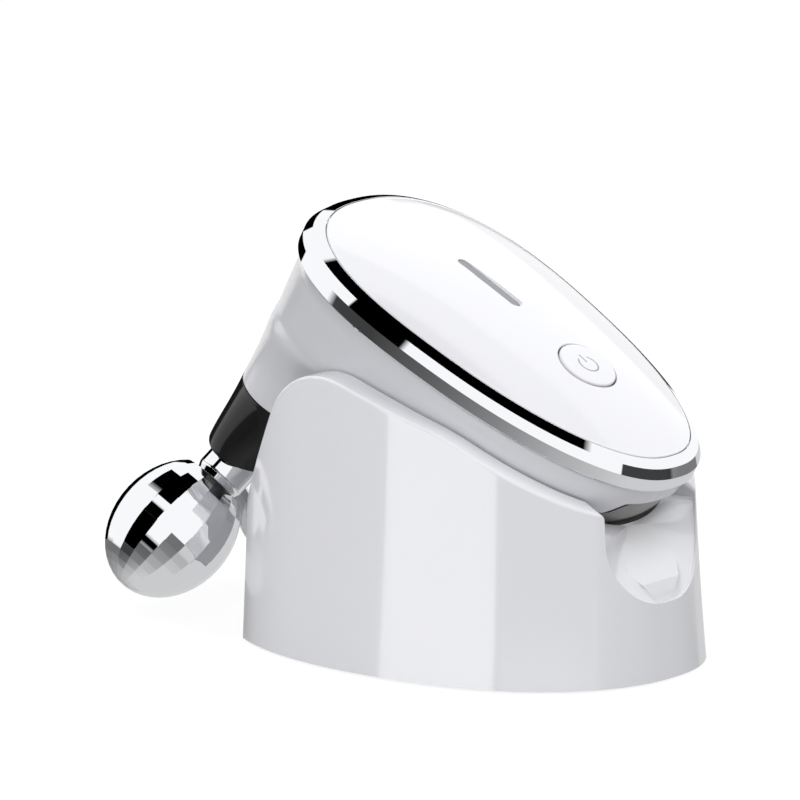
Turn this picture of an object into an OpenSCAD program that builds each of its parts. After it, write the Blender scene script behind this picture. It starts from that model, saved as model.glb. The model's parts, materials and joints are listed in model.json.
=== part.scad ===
// Facial toning device resting in its charging dock.
// A palm-sized oval handset with two faceted roller balls on a V-shaped yoke lies nose down
// in an oval dock with a flat back. The dock has a slanted rim, a slanted upper back with a
// channel for the handset's neck, and a thumb scoop under the nose for lifting it out.
//
// Frame: origin under the middle of the dock, on the face that it stands on, +X towards the
// nose and the scoop, +Z up, millimetres. The handset is drawn in its own frame: x along its
// length towards the nose, z square to the trim ring, origin in the ring's middle at the
// cover's seam.

/* [Handset head] */
// Length over the trim ring
head_l = 96.6; // [90:0.2:104]
// Width over the trim ring at mid length
head_w = 60.3; // [56:0.2:66]
// Squareness of the head's outline, 2 is an ellipse
head_square = 2.39; // [2.1:0.01:2.7]
// How much fuller the ball end is than the nose
head_egg = 0.177; // [0.1:0.005:0.22]
// Forward tilt of the docked handset, degrees
head_tilt = 28.6; // [26:0.1:31]
// Ring's middle in front of the dock's middle
head_x = 11.9; // [11:0.1:14]
// Ring's middle above the dock's foot
head_z = 67.1; // [65:0.1:72]

/* [Trim ring and cover] */
// Width of the trim ring seen from above
ring_w = 3.3; // [2.6:0.1:4.2]
// Height of the trim ring
ring_h = 6; // [5:0.1:7.5]
// Rise of the cover above the seam
dome_h = 4.6; // [3.4:0.1:6]
// Thickness of the cover
cover_t = 1.8; // [1.4:0.1:2.4]
// Seam round the cover
seam = 0.15; // [0.1:0.01:0.25]

/* [Button and light] */
// Diameter of the power button
button_d = 12.6; // [11:0.2:14]
// Button's middle ahead of the ring's middle
button_x = 18.8; // [16:0.2:21]
// Gap round the button
button_gap = 0.3; // [0.25:0.01:0.4]
// Travel of the button
button_travel = 0.6; // [0.4:0.05:0.8]
// Length of the indicator slot
slot_l = 17; // [13:0.5:20]
// Width of the indicator slot
slot_w = 2.4; // [1.8:0.1:3]
// Slot's middle behind the ring's middle
slot_x = 9.8; // [8:0.2:12]
// Depth of the light window below the cover's surface
slot_deep = 0.6; // [0.4:0.1:1]

/* [Body shell] */
// Wall of the body shell and the belly cover
body_wall = 2; // [1.6:0.1:2.4]
// Body set in from the ring's outer edge
body_inset = 0.8; // [0.5:0.1:1.5]
// Height of the white skirt at the nose, below the ring
skirt_nose = 4.2; // [3.6:0.1:4.8]
// Height of the white skirt at the sides, below the ring
skirt_side = 8.4; // [7.8:0.1:9]
// Seam between the skirt and the belly cover
belly_seam = 0.2; // [0.15:0.01:0.3]
// How far the belly cover lies back from the skirt
belly_sink = 0.3; // [0.2:0.05:0.8]

/* [Neck and yoke] */
// Neck's middle behind the ring's middle
neck_x = 38.6; // [37:0.1:40]
// Diameter of the neck at the collar
neck_d = 24.4; // [22.5:0.1:25.5]
// Distance from the cover's seam down to the collar
neck_drop = 45.6; // [43:0.2:48]
// Height of the black collar
collar_h = 14.2; // [13:0.2:16]
// Collar's foot, front to back
collar_foot_l = 18.8; // [17:0.2:20]
// Collar's foot, side to side
collar_foot_w = 30.2; // [28:0.2:31]
// Diameter of each chrome stem
stem_d = 10.8; // [9.6:0.1:11.4]
// Angle of each stem to the neck's direction, degrees
stem_angle = 37.8; // [36:0.1:39]
// Depth of the stems' meeting point inside the collar
apex_deep = 6; // [5.5:0.1:7.5]
// V head's middle behind the neck's middle
yoke_x = 2.4; // [1.8:0.1:3.2]

/* [Roller balls] */
// Ball diameter over the corners of its facets
ball_d = 25.2; // [22:0.1:26]
// Length of the whole egg shape along the axle
ball_l = 31; // [28:0.1:33]
// Distance from the stems' meeting point to a ball's middle
ball_reach = 32.3; // [31:0.1:35]
// Distance from a ball's middle back to its flat end
ball_back = 12.7; // [11.5:0.1:13.4]
// Facets round a ball
facets_round = 20; // [16:1:24]
// Height of each facet row as an angle of the egg, degrees
facet_step = 8; // [6:1:12]
// Diameter of an axle
axle_d = 4; // [3.4:0.1:4.6]
// Radial running clearance on an axle
axle_fit = 0.05; // [0.02:0.01:0.08]
// Outer diameter of a ball's bush
bush_d = 8; // [7:0.1:9]
// Gap between a ball and the spacer on its stem
ball_gap = 0.3; // [0.25:0.05:0.5]
// Thickness of the spacer
spacer_t = 1.4; // [1:0.1:2]

/* [Dock] */
// Length of the dock's foot
dock_l = 104; // [100:0.5:112]
// Width of the dock's foot
dock_w = 72.4; // [70:0.2:78]
// Flat back behind the dock's middle, at the foot
flat_x = 39; // [38:0.2:44]
// Backward lean of the flat back, mm per mm of height
flat_lean = 0.07; // [0:0.01:0.1]
// Squareness of the dock's outline
dock_square = 2.19; // [2.05:0.01:2.4]
// Wall of the dock's shell
dock_wall = 2.4; // [2:0.1:2.8]
// Lean of the wall at the foot, mm per mm of height
dock_lean = 0.086; // [0.06:0.002:0.1]
// How much the wall straightens by a height of 45 mm
dock_flare = 1.27; // [0.8:0.05:1.6]
// Rim below the cover's seam
rim_drop = 11.7; // [11:0.1:12.5]
// Start of the rim's fall towards the back, ahead of the ring's middle
rim_bend_x = 13; // [9:0.5:16]
// Fall of the rim towards the back, degrees
rim_fall = 11.7; // [9:0.1:14]
// Radius between the rim and the slanted back
rim_r = 20; // [16:0.5:22]
// Slanted back behind the ring's middle
back_x = 28; // [27:0.1:28.4]
// Clearance round the docked handset
cradle_gap = 0.4; // [0.3:0.05:0.6]
// Wall of the cradle
cradle_wall = 2.2; // [1.8:0.1:2.6]
// Thickness of the lip under the rim
lip_t = 2.2; // [1.8:0.1:2.8]
// Thickness of the slanted back
back_wall = 3.6; // [3.2:0.1:4.4]
// How much the dock widens towards the nose
dock_egg = 0.05; // [0:0.01:0.08]
// Clearance between the dock's mouldings
mould_gap = 0.15; // [0.1:0.01:0.25]

/* [Thumb scoop] */
// Width of the scoop's mouth
scoop_w = 30.8; // [27:0.2:34]
// Lowest point of the mouth above the dock's foot
scoop_z = 15.6; // [14:0.2:18]
// Corner radius of the mouth
scoop_r = 13.3; // [10:0.1:13.4]
// Inner end of the scoop's ramp, ahead of the dock's middle
ramp_x = 40.6; // [39:0.1:42]
// Height of the ramp's inner end above the dock's foot
ramp_z = 29.8; // [28:0.1:31]
// Height of the scoop's shoulders above the dock's foot
shoulder_z = 33.7; // [32.5:0.1:35]
// Edge of the mouth
scoop_edge = 0.7; // [0.5:0.1:1]
// Wall of the scoop
scoop_wall = 2; // [1.6:0.1:2.4]

/* [Base and electrics] */
// Thickness of the base plate
plate_t = 2.2; // [1.8:0.1:3]
// Thickness of the non-slip pad
pad_t = 1.2; // [1:0.1:1.8]
// How far the pad stands below the dock
pad_out = 0.5; // [0.3:0.05:0.8]
// Screw posts ahead of and behind the dock's middle
post_x = 23; // [20:0.5:26]
// Height of the screw posts
post_h = 14; // [11:0.5:18]
// Diameter of a screw post
post_d = 6.4; // [5.6:0.2:7]
// Spacing of the charging pins
pin_pitch = 6; // [5:0.2:8]
// Charging pins ahead of the ring's middle
pin_x = 16; // [13:0.5:18]
// Travel of a charging pin
pin_travel = 0.8; // [0.6:0.05:1]
// Inlet's middle behind the dock's middle
inlet_x = 12; // [8:0.5:16]
// Inlet's middle above the dock's foot
inlet_z = 9; // [8.5:0.1:11]

/* [Hidden] */
$fn = 48;

oval_n = 48;            // points round the handset's ovals
wall_n = 64;            // points round the dock's wall
arc_n = 10;             // points in a rounded corner of an outline
eps = 0.01;
touch = 0.02;           // clearance between fixed pieces that seat on each other
far = 300;

seam_a = head_l / 2 - ring_w;   // half length of the cover's seam line
seam_b = head_w / 2 - ring_w;
neck_r = neck_d / 2;
nose_x = head_l / 2 - body_inset;
neck_front = neck_r - neck_x;
body_deep = neck_drop - ring_h;
back_lean = 3.3;                // the body's back leans out by this much down to the collar
skirt_step_x = nose_x - 4;      // step of the parting line between skirt and belly
step_r = 1.6;                   // radius of that step's corners
parting_back = 8;               // parting line's lower end, behind the ring's middle

// Neck, yoke and balls.
spigot_r = neck_r - body_wall;
spigot_h = 6;
collar_end = neck_drop + collar_h;
yoke_mid = neck_x + yoke_x;
apex_z = -(neck_drop + apex_deep);
collar_wall = 2;
plug_h = 3.4;                   // height of the yoke's plug in the collar's foot
stem_end = ball_reach - ball_back - ball_gap - spacer_t;
axle_grip = 7.5;                // length of an axle inside its stem
bush_tip = 6;                   // end of the bush beyond the ball's middle
bush_rim = 1.2;                 // how far the bush's flange stands out
bush_rim_t = 0.8;
clip_t = 0.8;
clip_z = bush_tip + 0.4;
groove_d = axle_d - 0.8;

// Main board, battery and switch.
screw_core_d = 1.8;
board_boss_d = 5;
boss_h = 5;
board_z = -ring_h - 3.4;        // underside of the main board
board_t = 1.2;
board_in = 1.9;                 // board's edge inside the seam line
ledge_t = 1.4;
ledge_w = 2.6;                  // ledge's inner edge inside the seam line
battery_l = 32;
battery_w = 21;
battery_h = 7;
battery_x = -3;
battery_drop = 20.2;            // underside of the battery below the seam
rib_t = 1.2;

// Button and window. The dome's power of 2.2 gives its slope at the button.
button_h = dome(button_x / seam_a);
button_lean = atan(2.2 * dome_h * pow(button_x / seam_a, 1.2) / seam_a);
button_seat = cover_t + 1.2;    // underside of the button's well below the cover
button_crown = 0.35;            // how far the button's middle stands up
button_dome_r = 90;
button_rim = 1;                 // flange that keeps the button in
button_stem = 2.6;              // stem's end below the well
well_wall = 1.5;                // wall round the button's well and the slot

// Charging contacts, pins and board. Everything below the contacts hangs on their height.
contact_r = 1.9;
contact_low = ring_h + body_deep * 0.487 - belly_sink / 2;   // contacts' face below the seam
charge_t = 1.2;                 // thickness of the charging board
charge_l = 14;
block_h = 4.4;                  // height of the pins' insulator
block_w = 4.2;
board_drop = contact_low + 1 + block_h + charge_t;   // board's underside below the seam
stake_y = 8.6;
stake_d = 3.6;
stake_tip_d = 1.6;
pin_r = 0.7;
pin_fit = 0.05;

// Dock, base and inlet.
plate_z = 0.4;                  // plate set up into the dock's foot
plate_top = plate_z + plate_t;
pad_front = dock_l / 2 - 14;
pad_back = flat_x - 6;
pad_half_w = 14;
screw_seat = 0.8;               // plate left under a screw's head
cup_flange = 3;
corner_r = 0.8;                 // radius of the rim's corners at the mouth
inlet_w = 9.2;
inlet_t = 3.6;
inlet_deep = 8;
post_r = post_d / 2;
posts = [for (x = [-post_x, post_x]) for (s = [-1, 1])
    [x, s * (wall_y(x, post_h) - dock_wall - post_r + 1)]];

// Body between the ring and the collar. Each row: share of the depth, share of the way
// from the neck's front to the nose, share of the way from the neck's radius to the
// head's half width, share of the head's egg.
body_rows = [
    [0, 1, 1, 1], [0.11, 0.985, 0.955, 0.4], [0.2, 0.965, 0.88, 0.4], [0.29, 0.94, 0.8, 0.4],
    [0.36, 0.9, 0.75, 0.3], [0.41, 0.82, 0.69, 0.3], [0.45, 0.66, 0.61, 0.3],
    [0.485, 0.46, 0.53, 0.2], [0.53, 0.29, 0.44, 0.2], [0.6, 0.16, 0.32, 0.1],
    [0.7, 0.07, 0.18, 0], [0.83, 0.02, 0.06, 0], [1, 0, 0, 0]
];

function power(v, e) = sign(v) * pow(abs(v), e);

// Egg-shaped oval at height z: half length a, half width b, squareness and egg share.
function oval(a, b, square, egg, x0, z, n) = [
    for (i = [0 : n - 1])
        let (t = 360 * i / n, x = power(cos(t), 2 / square), y = power(sin(t), 2 / square))
            [x0 + a * x, b * y * (1 - egg * x), z]
];

// Seam line of the head grown by w, at height z.
function head_oval(w, z) =
    oval(seam_a + w, seam_b + w, head_square, head_egg, 0, z, oval_n);

// One section of the body, grown by off on every side.
function body_oval(row, off) =
    let (
        front = neck_front + row[1] * (nose_x - neck_front) + off,
        back = -(nose_x + back_lean * row[0]) - off,
        wide = neck_r + row[2] * (head_w / 2 - body_inset - neck_r) + off,
        blend = max(row[1], row[2])
    )
    oval((front - back) / 2, wide, 2 + (head_square - 2) * blend, head_egg * row[3],
         (front + back) / 2, -ring_h - body_deep * row[0] - off, oval_n);

// Height of the cover above the seam at share r of the way out.
function dome(r) = dome_h * (1 - pow(r, 2.2));

function wall_inset(z) = dock_lean * z - dock_flare * pow(z / 45, 2);

// Dock outline at height z, grown by off.
function dock_oval(z, off) =
    oval(dock_l / 2 - wall_inset(z) + off, dock_w / 2 - wall_inset(z) + off,
         dock_square, -dock_egg, 0, z, wall_n);

// Rounds the corner b between a and c with radius r.
function corner(a, b, c, r) =
    let (
        u = (a - b) / norm(a - b), v = (c - b) / norm(c - b),
        half = acos(u * v) / 2, m = (u + v) / norm(u + v),
        mid = b + m * r / sin(half),
        p = b + u * r / tan(half) - mid, q = b + v * r / tan(half) - mid,
        t0 = atan2(p[1], p[0]), turn = atan2(p[0] * q[1] - p[1] * q[0], p * q)
    )
    [for (i = [0 : arc_n]) mid + r * [cos(t0 + turn * i / arc_n), sin(t0 + turn * i / arc_n)]];

// Skins closed rows of points, listed from the lowest up. start and end hold the faces that
// close the first and the last row where one flat face doesn't do.
module skin(rows, start = [], end = []) {
    n = len(rows[0]);
    last = (len(rows) - 1) * n;
    polyhedron(
        points = [for (row = rows) each row],
        faces = concat(
            len(start) > 0 ? start : [[for (j = [0 : n - 1]) j]],
            [for (i = [0 : len(rows) - 2]) for (j = [0 : n - 1])
                let (k = (j + 1) % n) [i * n + j, (i + 1) * n + j, (i + 1) * n + k]],
            [for (i = [0 : len(rows) - 2]) for (j = [0 : n - 1])
                let (k = (j + 1) % n) [i * n + j, (i + 1) * n + k, i * n + k]],
            [for (f = len(end) > 0 ? end : [[for (j = [0 : n - 1]) j]])
                [for (j = [len(f) - 1 : -1 : 0]) last + f[j]]]
        )
    );
}

module on_foot() {
    translate([0, 0, pad_out]) children();
}

module in_head() {
    on_foot() translate([head_x, 0, head_z]) rotate([0, head_tilt, 0]) children();
}

// Side outlines are drawn as [x, z] and extruded across the width.
module across(w) {
    rotate([90, 0, 0]) linear_extrude(w, center = true) children();
}

module slab(w, z0, z1) {
    skin([head_oval(w, z0), head_oval(w, z1)]);
}

// ---------- handset ----------

// Body of the handset from the ring down to the collar, grown by off.
module body_form(off, up = 0) {
    rows = [for (i = [len(body_rows) - 1 : -1 : 0]) body_oval(body_rows[i], off)];
    top = [for (p = body_oval(body_rows[0], off)) [p[0], p[1], -ring_h + up]];
    skin(concat(rows, [top]));
}

// The body with its neck run on downwards, for the channel in the dock.
module body_path(off) {
    low = [for (p = body_oval(body_rows[len(body_rows) - 1], off)) [p[0], p[1], -2 * neck_drop]];
    rows = [for (i = [len(body_rows) - 1 : -1 : 0]) body_oval(body_rows[i], off)];
    top = [for (p = body_oval(body_rows[0], off)) [p[0], p[1], eps]];
    skin(concat([low], rows, [top]));
}

// Belly cover's field in the side view, below an S-shaped parting line.
module belly_field(grow) {
    top = -ring_h - skirt_nose + grow;
    low = -ring_h - skirt_side + grow;
    x1 = skirt_step_x + step_r - grow;
    x0 = skirt_step_x - step_r - grow;
    back = -parting_back - grow;
    polygon(concat(
        [[far, top]],
        corner([far, top], [x1, top], [x0, low], step_r),
        corner([x1, top], [x0, low], [0, low], step_r),
        corner([x0, low], [back + 10, low], [back, -neck_drop / 2], 12),
        [[back, -far], [far, -far]]
    ));
}

module body_shell() {
    color([0.93, 0.93, 0.95]) in_head() difference() {
        union() {
            difference() {
                body_form(0);
                body_form(-body_wall, body_wall + 1);
            }
            // ledge that carries the board
            intersection() {
                body_form(-body_wall / 2);
                difference() {
                    slab(ring_w, board_z - ledge_t, board_z);
                    slab(-ledge_w, board_z - 2 * ledge_t, board_z + 1);
                }
            }
            for (s = board_screw_places()) translate([s[0], s[1], board_z - boss_h])
                cylinder(d = board_boss_d, h = boss_h);
        }
        across(far) belly_field(0);
        for (s = board_screw_places()) translate([s[0], s[1], board_z - boss_h + 0.5])
            cylinder(d = screw_core_d, h = 6);
        // socket for the collar's spigot
        translate([-neck_x, 0, -neck_drop - eps]) cylinder(r = spigot_r + touch, h = spigot_h + 0.3);
    }
}

function board_screw_places() = [
    [seam_a * 0.6, seam_b * 0.62], [seam_a * 0.6, -seam_b * 0.62],
    [-seam_a * 0.55, seam_b * 0.82], [-seam_a * 0.55, -seam_b * 0.82]
];

module belly_cover() {
    color([0.47, 0.45, 0.43]) in_head() difference() {
        union() {
            difference() {
                body_form(-belly_sink);
                body_form(-body_wall - belly_sink, body_wall + 1);
            }
            // ribs that carry the battery
            for (x = [battery_x + battery_l * 0.14, battery_x + battery_l * 0.4])
                intersection() {
                    body_form(-body_wall / 2);
                    translate([x - rib_t / 2, -battery_w / 2, -neck_drop])
                        cube([rib_t, battery_w, neck_drop - battery_drop]);
                }
        }
        difference() {
            translate([-far / 2, -far / 2, -far / 2]) cube(far);
            across(far + 2) belly_field(-belly_seam);
        }
        for (s = [-1, 1]) translate([pin_x, s * pin_pitch / 2, -neck_drop])
            cylinder(r = contact_r + touch, h = neck_drop);
    }
}

module trim_ring() {
    color([0.86, 0.87, 0.89]) in_head() difference() {
        skin([
            head_oval(ring_w - 0.5, -ring_h), head_oval(ring_w, -ring_h * 0.82),
            head_oval(ring_w, -ring_h * 0.5), head_oval(ring_w * 0.62, -ring_h * 0.2),
            head_oval(0, 0)
        ]);
        slab(-seam, -cover_t - 0.6, 1);
        slab(-1.8, -ring_h - 1, 1);
    }
}

// Domed cover surface lowered by drop, as rows from the edge up to the middle.
function cover_rows(drop, w) = [
    for (r = [1, 0.94, 0.86, 0.74, 0.6, 0.44, 0.28, 0.12])
        [for (p = head_oval(w, dome(r) - drop)) [p[0] * r, p[1] * r, p[2]]]
];

module cover_form(drop, w, foot) {
    skin(concat([head_oval(w, foot)], cover_rows(drop, w)));
}

// Places its children on the cover's surface at the button, square to it.
module at_button() {
    translate([button_x, 0, button_h]) rotate([0, button_lean, 0]) children();
}

module stadium(l, w) {
    square([l - w, w], center = true);
    for (s = [-1, 1]) translate([s * (l - w) / 2, 0]) circle(d = w);
}

module top_cover() {
    color([0.96, 0.96, 0.98]) in_head() difference() {
        union() {
            difference() {
                cover_form(0, -2 * seam, -cover_t - 0.5);
                cover_form(cover_t, -2 * seam - cover_t, -cover_t - 1);
            }
            at_button() translate([0, 0, -button_seat])
                cylinder(d = button_d + 2 * (button_gap + well_wall), h = button_seat - cover_t / 2);
            translate([-slot_x, 0, dome(slot_x / seam_a) - cover_t - 1.6])
                linear_extrude(2) stadium(slot_l + 2 * well_wall, slot_w + 2 * well_wall);
        }
        at_button() translate([0, 0, -10]) cylinder(d = button_d + 2 * button_gap, h = 20);
        translate([-slot_x, 0, -5]) linear_extrude(20) stadium(slot_l, slot_w);
    }
}

module light_window() {
    top = dome((slot_x + slot_l / 2) / seam_a) - slot_deep;
    low = dome(slot_x / seam_a) - cover_t - 1.6;
    color([0.55, 0.56, 0.58]) in_head() translate([-slot_x, 0, 0]) {
        translate([0, 0, low - touch]) linear_extrude(top - low)
            stadium(slot_l - 2 * touch, slot_w - 2 * touch);
        translate([0, 0, low - 1]) linear_extrude(1 - touch) stadium(slot_l + 2, slot_w + 2);
    }
}

module power_button() {
    color([0.97, 0.97, 0.98]) in_head() at_button() {
        intersection() {
            translate([0, 0, -button_seat - 1]) cylinder(d = button_d, h = button_seat + 2);
            translate([0, 0, button_crown - button_dome_r]) sphere(r = button_dome_r, $fn = 96);
        }
        translate([0, 0, -button_seat - 1.3]) cylinder(d = button_d + 2 * button_rim, h = 1.1);
        translate([0, 0, -button_seat - button_stem]) cylinder(d = 4, h = 2);
    }
}

module main_board() {
    color([0.1, 0.35, 0.2]) in_head() difference() {
        union() {
            slab(-board_in, board_z + touch, board_z + board_t);
            translate([-slot_x - 5, -2, board_z + board_t - eps]) cube([10, 4, 1.6]);
            translate([-2, 8, board_z + board_t - eps]) cube([8, 8, 1.2]);
            translate([-30, -14, board_z + board_t - eps]) cube([6, 9, 3]);
        }
        for (s = board_screw_places()) translate([s[0], s[1], board_z - 1])
            cylinder(d = screw_core_d + 0.4, h = 4);
    }
}

module board_screws() {
    color([0.7, 0.7, 0.72]) in_head() for (s = board_screw_places())
        translate([s[0], s[1], board_z + board_t + touch]) {
            cylinder(d = 3.6, h = 1.3);
            translate([0, 0, -5]) cylinder(d = screw_core_d - 0.04, h = 5 + eps);
        }
}

// The switch stops short of the button's stem by the travel and a little more.
module tact_switch() {
    stem_low = button_h - (button_seat + button_stem) * cos(button_lean);
    top = stem_low - button_travel - 0.35;
    base = board_z + board_t + touch;
    color([0.2, 0.2, 0.22]) in_head()
        translate([button_x - (button_seat + button_stem) * sin(button_lean), 0, 0]) {
            translate([-3, -3, base]) cube([6, 6, max(1, top - base - 0.8)]);
            translate([0, 0, top - 1]) cylinder(d = 3.4, h = 1);
        }
}

module battery() {
    color([0.62, 0.64, 0.68]) in_head()
        translate([battery_x, 0, -battery_drop + touch + battery_h / 2])
            cube([battery_l, battery_w, battery_h], center = true);
}

module charge_contacts() {
    color([0.85, 0.7, 0.35]) in_head() for (s = [-1, 1])
        translate([pin_x, s * pin_pitch / 2, -contact_low]) cylinder(r = contact_r, h = 3.2);
}

module neck_collar() {
    color([0.1, 0.1, 0.11]) in_head() difference() {
        union() {
            collar_form(0);
            translate([-neck_x, 0, -neck_drop]) cylinder(r = spigot_r, h = spigot_h);
        }
        collar_hollow();
        translate([-neck_x, 0, -neck_drop - collar_h / 2])
            cylinder(r = spigot_r - collar_wall, h = far);
    }
}

function collar_oval(share, off, z) =
    let (s = share * share * (3 - 2 * share))
    oval(neck_r + (collar_foot_l / 2 - neck_r) * s + off,
         neck_r + (collar_foot_w / 2 - neck_r) * s + off, 2, 0,
         -neck_x - yoke_x * s, z, oval_n);

module collar_form(off) {
    skin([for (i = [6 : -1 : 0]) collar_oval(i / 6, off, -neck_drop - collar_h * i / 6)]);
}

// Pocket in the collar's foot that takes the yoke's plug.
module collar_hollow() {
    z0 = -collar_end;
    skin([
        collar_oval(1, -collar_wall, z0 - 1), collar_oval(1, -collar_wall, z0 + plug_h),
        collar_oval(0.6, -collar_wall - 0.6, z0 + collar_h / 2 + 1)
    ]);
    // room for the two stems above the plug
    for (side = [-1, 1]) yoke_arm(side, stem_d / 2 + touch, 0, stem_end);
}

module yoke_arm(side, r, from, to) {
    translate([-yoke_mid, 0, apex_z]) rotate([side * stem_angle, 0, 0])
        translate([0, 0, -to]) cylinder(r = r, h = to - from);
}

module yoke() {
    z0 = -collar_end;
    color([0.84, 0.85, 0.87]) in_head() difference() {
        union() {
            skin([collar_oval(1, -collar_wall - touch, z0 + 0.3),
                  collar_oval(1, -collar_wall - touch, z0 + plug_h - touch)]);
            intersection() {
                for (side = [-1, 1]) yoke_arm(side, stem_d / 2, 0, stem_end);
                translate([-far / 2, -far / 2, z0 + plug_h - touch - far]) cube(far);
            }
        }
        for (side = [-1, 1])
            yoke_arm(side, axle_d / 2 + touch, stem_end - axle_grip - 0.5, stem_end + 1);
    }
}

// Places its children at a ball's middle, z towards the tip of the ball.
module at_ball(side) {
    in_head() translate([-yoke_mid, 0, apex_z]) rotate([side * stem_angle, 0, 0])
        translate([0, 0, -ball_reach]) rotate([180, 0, 0]) children();
}

module axle(side) {
    color([0.75, 0.76, 0.78]) at_ball(side) difference() {
        translate([0, 0, -ball_reach + stem_end - axle_grip])
            cylinder(d = axle_d, h = ball_reach - stem_end + axle_grip + bush_tip + 2);
        // groove for the clip
        translate([0, 0, clip_z]) difference() {
            cylinder(d = axle_d + 2, h = clip_t);
            translate([0, 0, -1]) cylinder(d = groove_d, h = clip_t + 2);
        }
    }
}

module axle_clips() {
    color([0.5, 0.5, 0.52]) for (side = [-1, 1])
        at_ball(side) translate([0, 0, clip_z + touch]) difference() {
            cylinder(d = bush_d - 1, h = clip_t - 2 * touch);
            translate([0, 0, -1]) cylinder(d = groove_d + 2 * touch, h = 4);
            translate([0, -0.9, -1]) cube([far, 1.8, 4]);
        }
}

module spacer(side) {
    color([0.84, 0.85, 0.87]) at_ball(side) translate([0, 0, -ball_back - ball_gap - spacer_t + touch])
        difference() {
            cylinder(r1 = stem_d / 2, r2 = stem_d / 2 - 0.6, h = spacer_t - touch);
            translate([0, 0, -1]) cylinder(d = axle_d + 2 * touch, h = spacer_t + 2);
        }
}

// Egg of flat facets, cut off flat towards the stem.
module faceted_egg() {
    a = ball_l / 2;
    r = ball_d / 2;
    low = -asin(ball_back / a);
    count = ceil((84 - low) / facet_step);
    step = (84 - low) / count;
    skin([for (i = [0 : count])
        let (t = low + i * step)
            [for (j = [0 : facets_round - 1])
                let (u = 360 * (j + 0.5) / facets_round)
                    [r * cos(t) * cos(u), r * cos(t) * sin(u), a * sin(t)]]]);
}

module ball(side) {
    color([0.88, 0.89, 0.91]) at_ball(side) difference() {
        faceted_egg();
        translate([0, 0, -ball_back - 1])
            cylinder(d = bush_d + 2 * touch, h = ball_back + 1 + bush_tip + clip_t + 2.4);
        translate([0, 0, -ball_back - 1])
            cylinder(d = bush_d + 2 * (bush_rim + touch), h = 1 + bush_rim_t + touch);
    }
}

module bush(side) {
    color([0.8, 0.72, 0.5]) at_ball(side) difference() {
        union() {
            translate([0, 0, -ball_back + bush_rim_t])
                cylinder(d = bush_d, h = ball_back - bush_rim_t + bush_tip);
            translate([0, 0, -ball_back]) cylinder(d = bush_d + 2 * bush_rim, h = bush_rim_t + eps);
        }
        translate([0, 0, -ball_back - 1])
            cylinder(d = axle_d + 2 * axle_fit, h = ball_back + bush_tip + 2);
    }
}

// ---------- dock ----------

// The dock's outer form from height z0 up, grown by off: an oval with a flat back.
module dock_form(off, z0) {
    top = 78;
    intersection() {
        skin([for (i = [0 : 7]) dock_oval(z0 + (top - z0) * i / 7, off)]);
        across(far) polygon([
            [flat_lean * top - flat_x - off, -top], [far, -top],
            [far, 2 * top], [-2 * flat_lean * top - flat_x - off, 2 * top]
        ]);
    }
}

// Side outline of the dock under the rim, in the handset's frame, drawn in from the rim by
// down and from the slanted back by fore.
module dock_field(down, fore) {
    z = -rim_drop - down;
    x = -back_x + fore;
    a = [far / 2, z];
    b = [rim_bend_x, z];
    fall = [x, z - (rim_bend_x - x) * tan(rim_fall)];
    polygon(concat([a], corner(a, b, fall, 40), corner(b, fall, [x, -far], rim_r - fore),
                   [[x, -far], [far / 2, -far]]));
}

module under_rim(down, fore) {
    translate([0, 0, -pad_out]) in_head() across(far) dock_field(down, fore);
}

module handset_room(off) {
    translate([0, 0, -pad_out]) in_head() body_path(off);
}

// How far out the wall's face lies at [y, z], and to the side at [x, z].
function wall_x(y, z) =
    let (a = dock_l / 2 - wall_inset(z), b = (dock_w / 2 - wall_inset(z)) * (1 + dock_egg))
    a * pow(1 - pow(abs(y) / b, dock_square), 1 / dock_square);
function wall_y(x, z) =
    let (a = dock_l / 2 - wall_inset(z), b = dock_w / 2 - wall_inset(z))
    b * (1 + dock_egg * x / a) * pow(1 - pow(abs(x) / a, dock_square), 1 / dock_square);

// One side of the scoop's mouth as [y, z], from the top down to the flat bottom.
mouth = [
    [scoop_w / 2, 70], [scoop_w / 2, shoulder_z],
    for (i = [0 : 7]) let (t = 90 * i / 7)
        [scoop_w / 2 - scoop_r * (1 - cos(t)), scoop_z + scoop_r * (1 - sin(t))]
];
front_x = wall_x(0, scoop_z + 4);

// Both sides of the mouth, down the near side and up the far side.
function both_sides(side) = concat(
    [for (p = side) [p[0], -p[1], p[2]]],
    [for (i = [len(side) - 1 : -1 : 0]) side[i]]
);

function on_ramp(y, z) = [ramp_x + ramp_slope * (ramp_z - z), y, z];

sill = [front_x - 1.9, 6.2, scoop_z + 4];
ramp_slope = (sill[0] - ramp_x) / (ramp_z - sill[2]);
edge_low = on_ramp(8.3, scoop_z + 6.9);
edge_mid = on_ramp(4.8, ramp_z - 4);

// Edge of the ramp on one side, with a point for each point of the mouth's outline.
ramp_side = [
    [ramp_x, scoop_w / 2, 70], [ramp_x, scoop_w / 2, shoulder_z], on_ramp(0.4, ramp_z),
    on_ramp(2.8, ramp_z - 1.9), edge_mid, (edge_mid + edge_low) / 2, edge_low,
    edge_low * 0.67 + sill * 0.33, edge_low * 0.33 + sill * 0.67, sill
];
mouth_side = [for (p = mouth) [wall_x(p[0], p[1]) - scoop_edge, p[0], p[1]]];

// Hollow for the thumb: a ramp that narrows inwards below the nose, with a steeper sill
// inside the mouth and upright walls above its shoulders.
module scoop_hollow() {
    n = len(mouth_side);
    skin([
        both_sides(ramp_side), both_sides(mouth_side),
        [for (p = both_sides(mouth_side)) [front_x + 8, p[1], p[2]]]
    ], [[0, 1, 2, 2 * n - 3, 2 * n - 2, 2 * n - 1], [for (j = [2 : 2 * n - 3]) j]],
    [[0, 1, 2 * n - 2, 2 * n - 1], [for (j = [1 : 2 * n - 2]) j]]);
}

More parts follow.
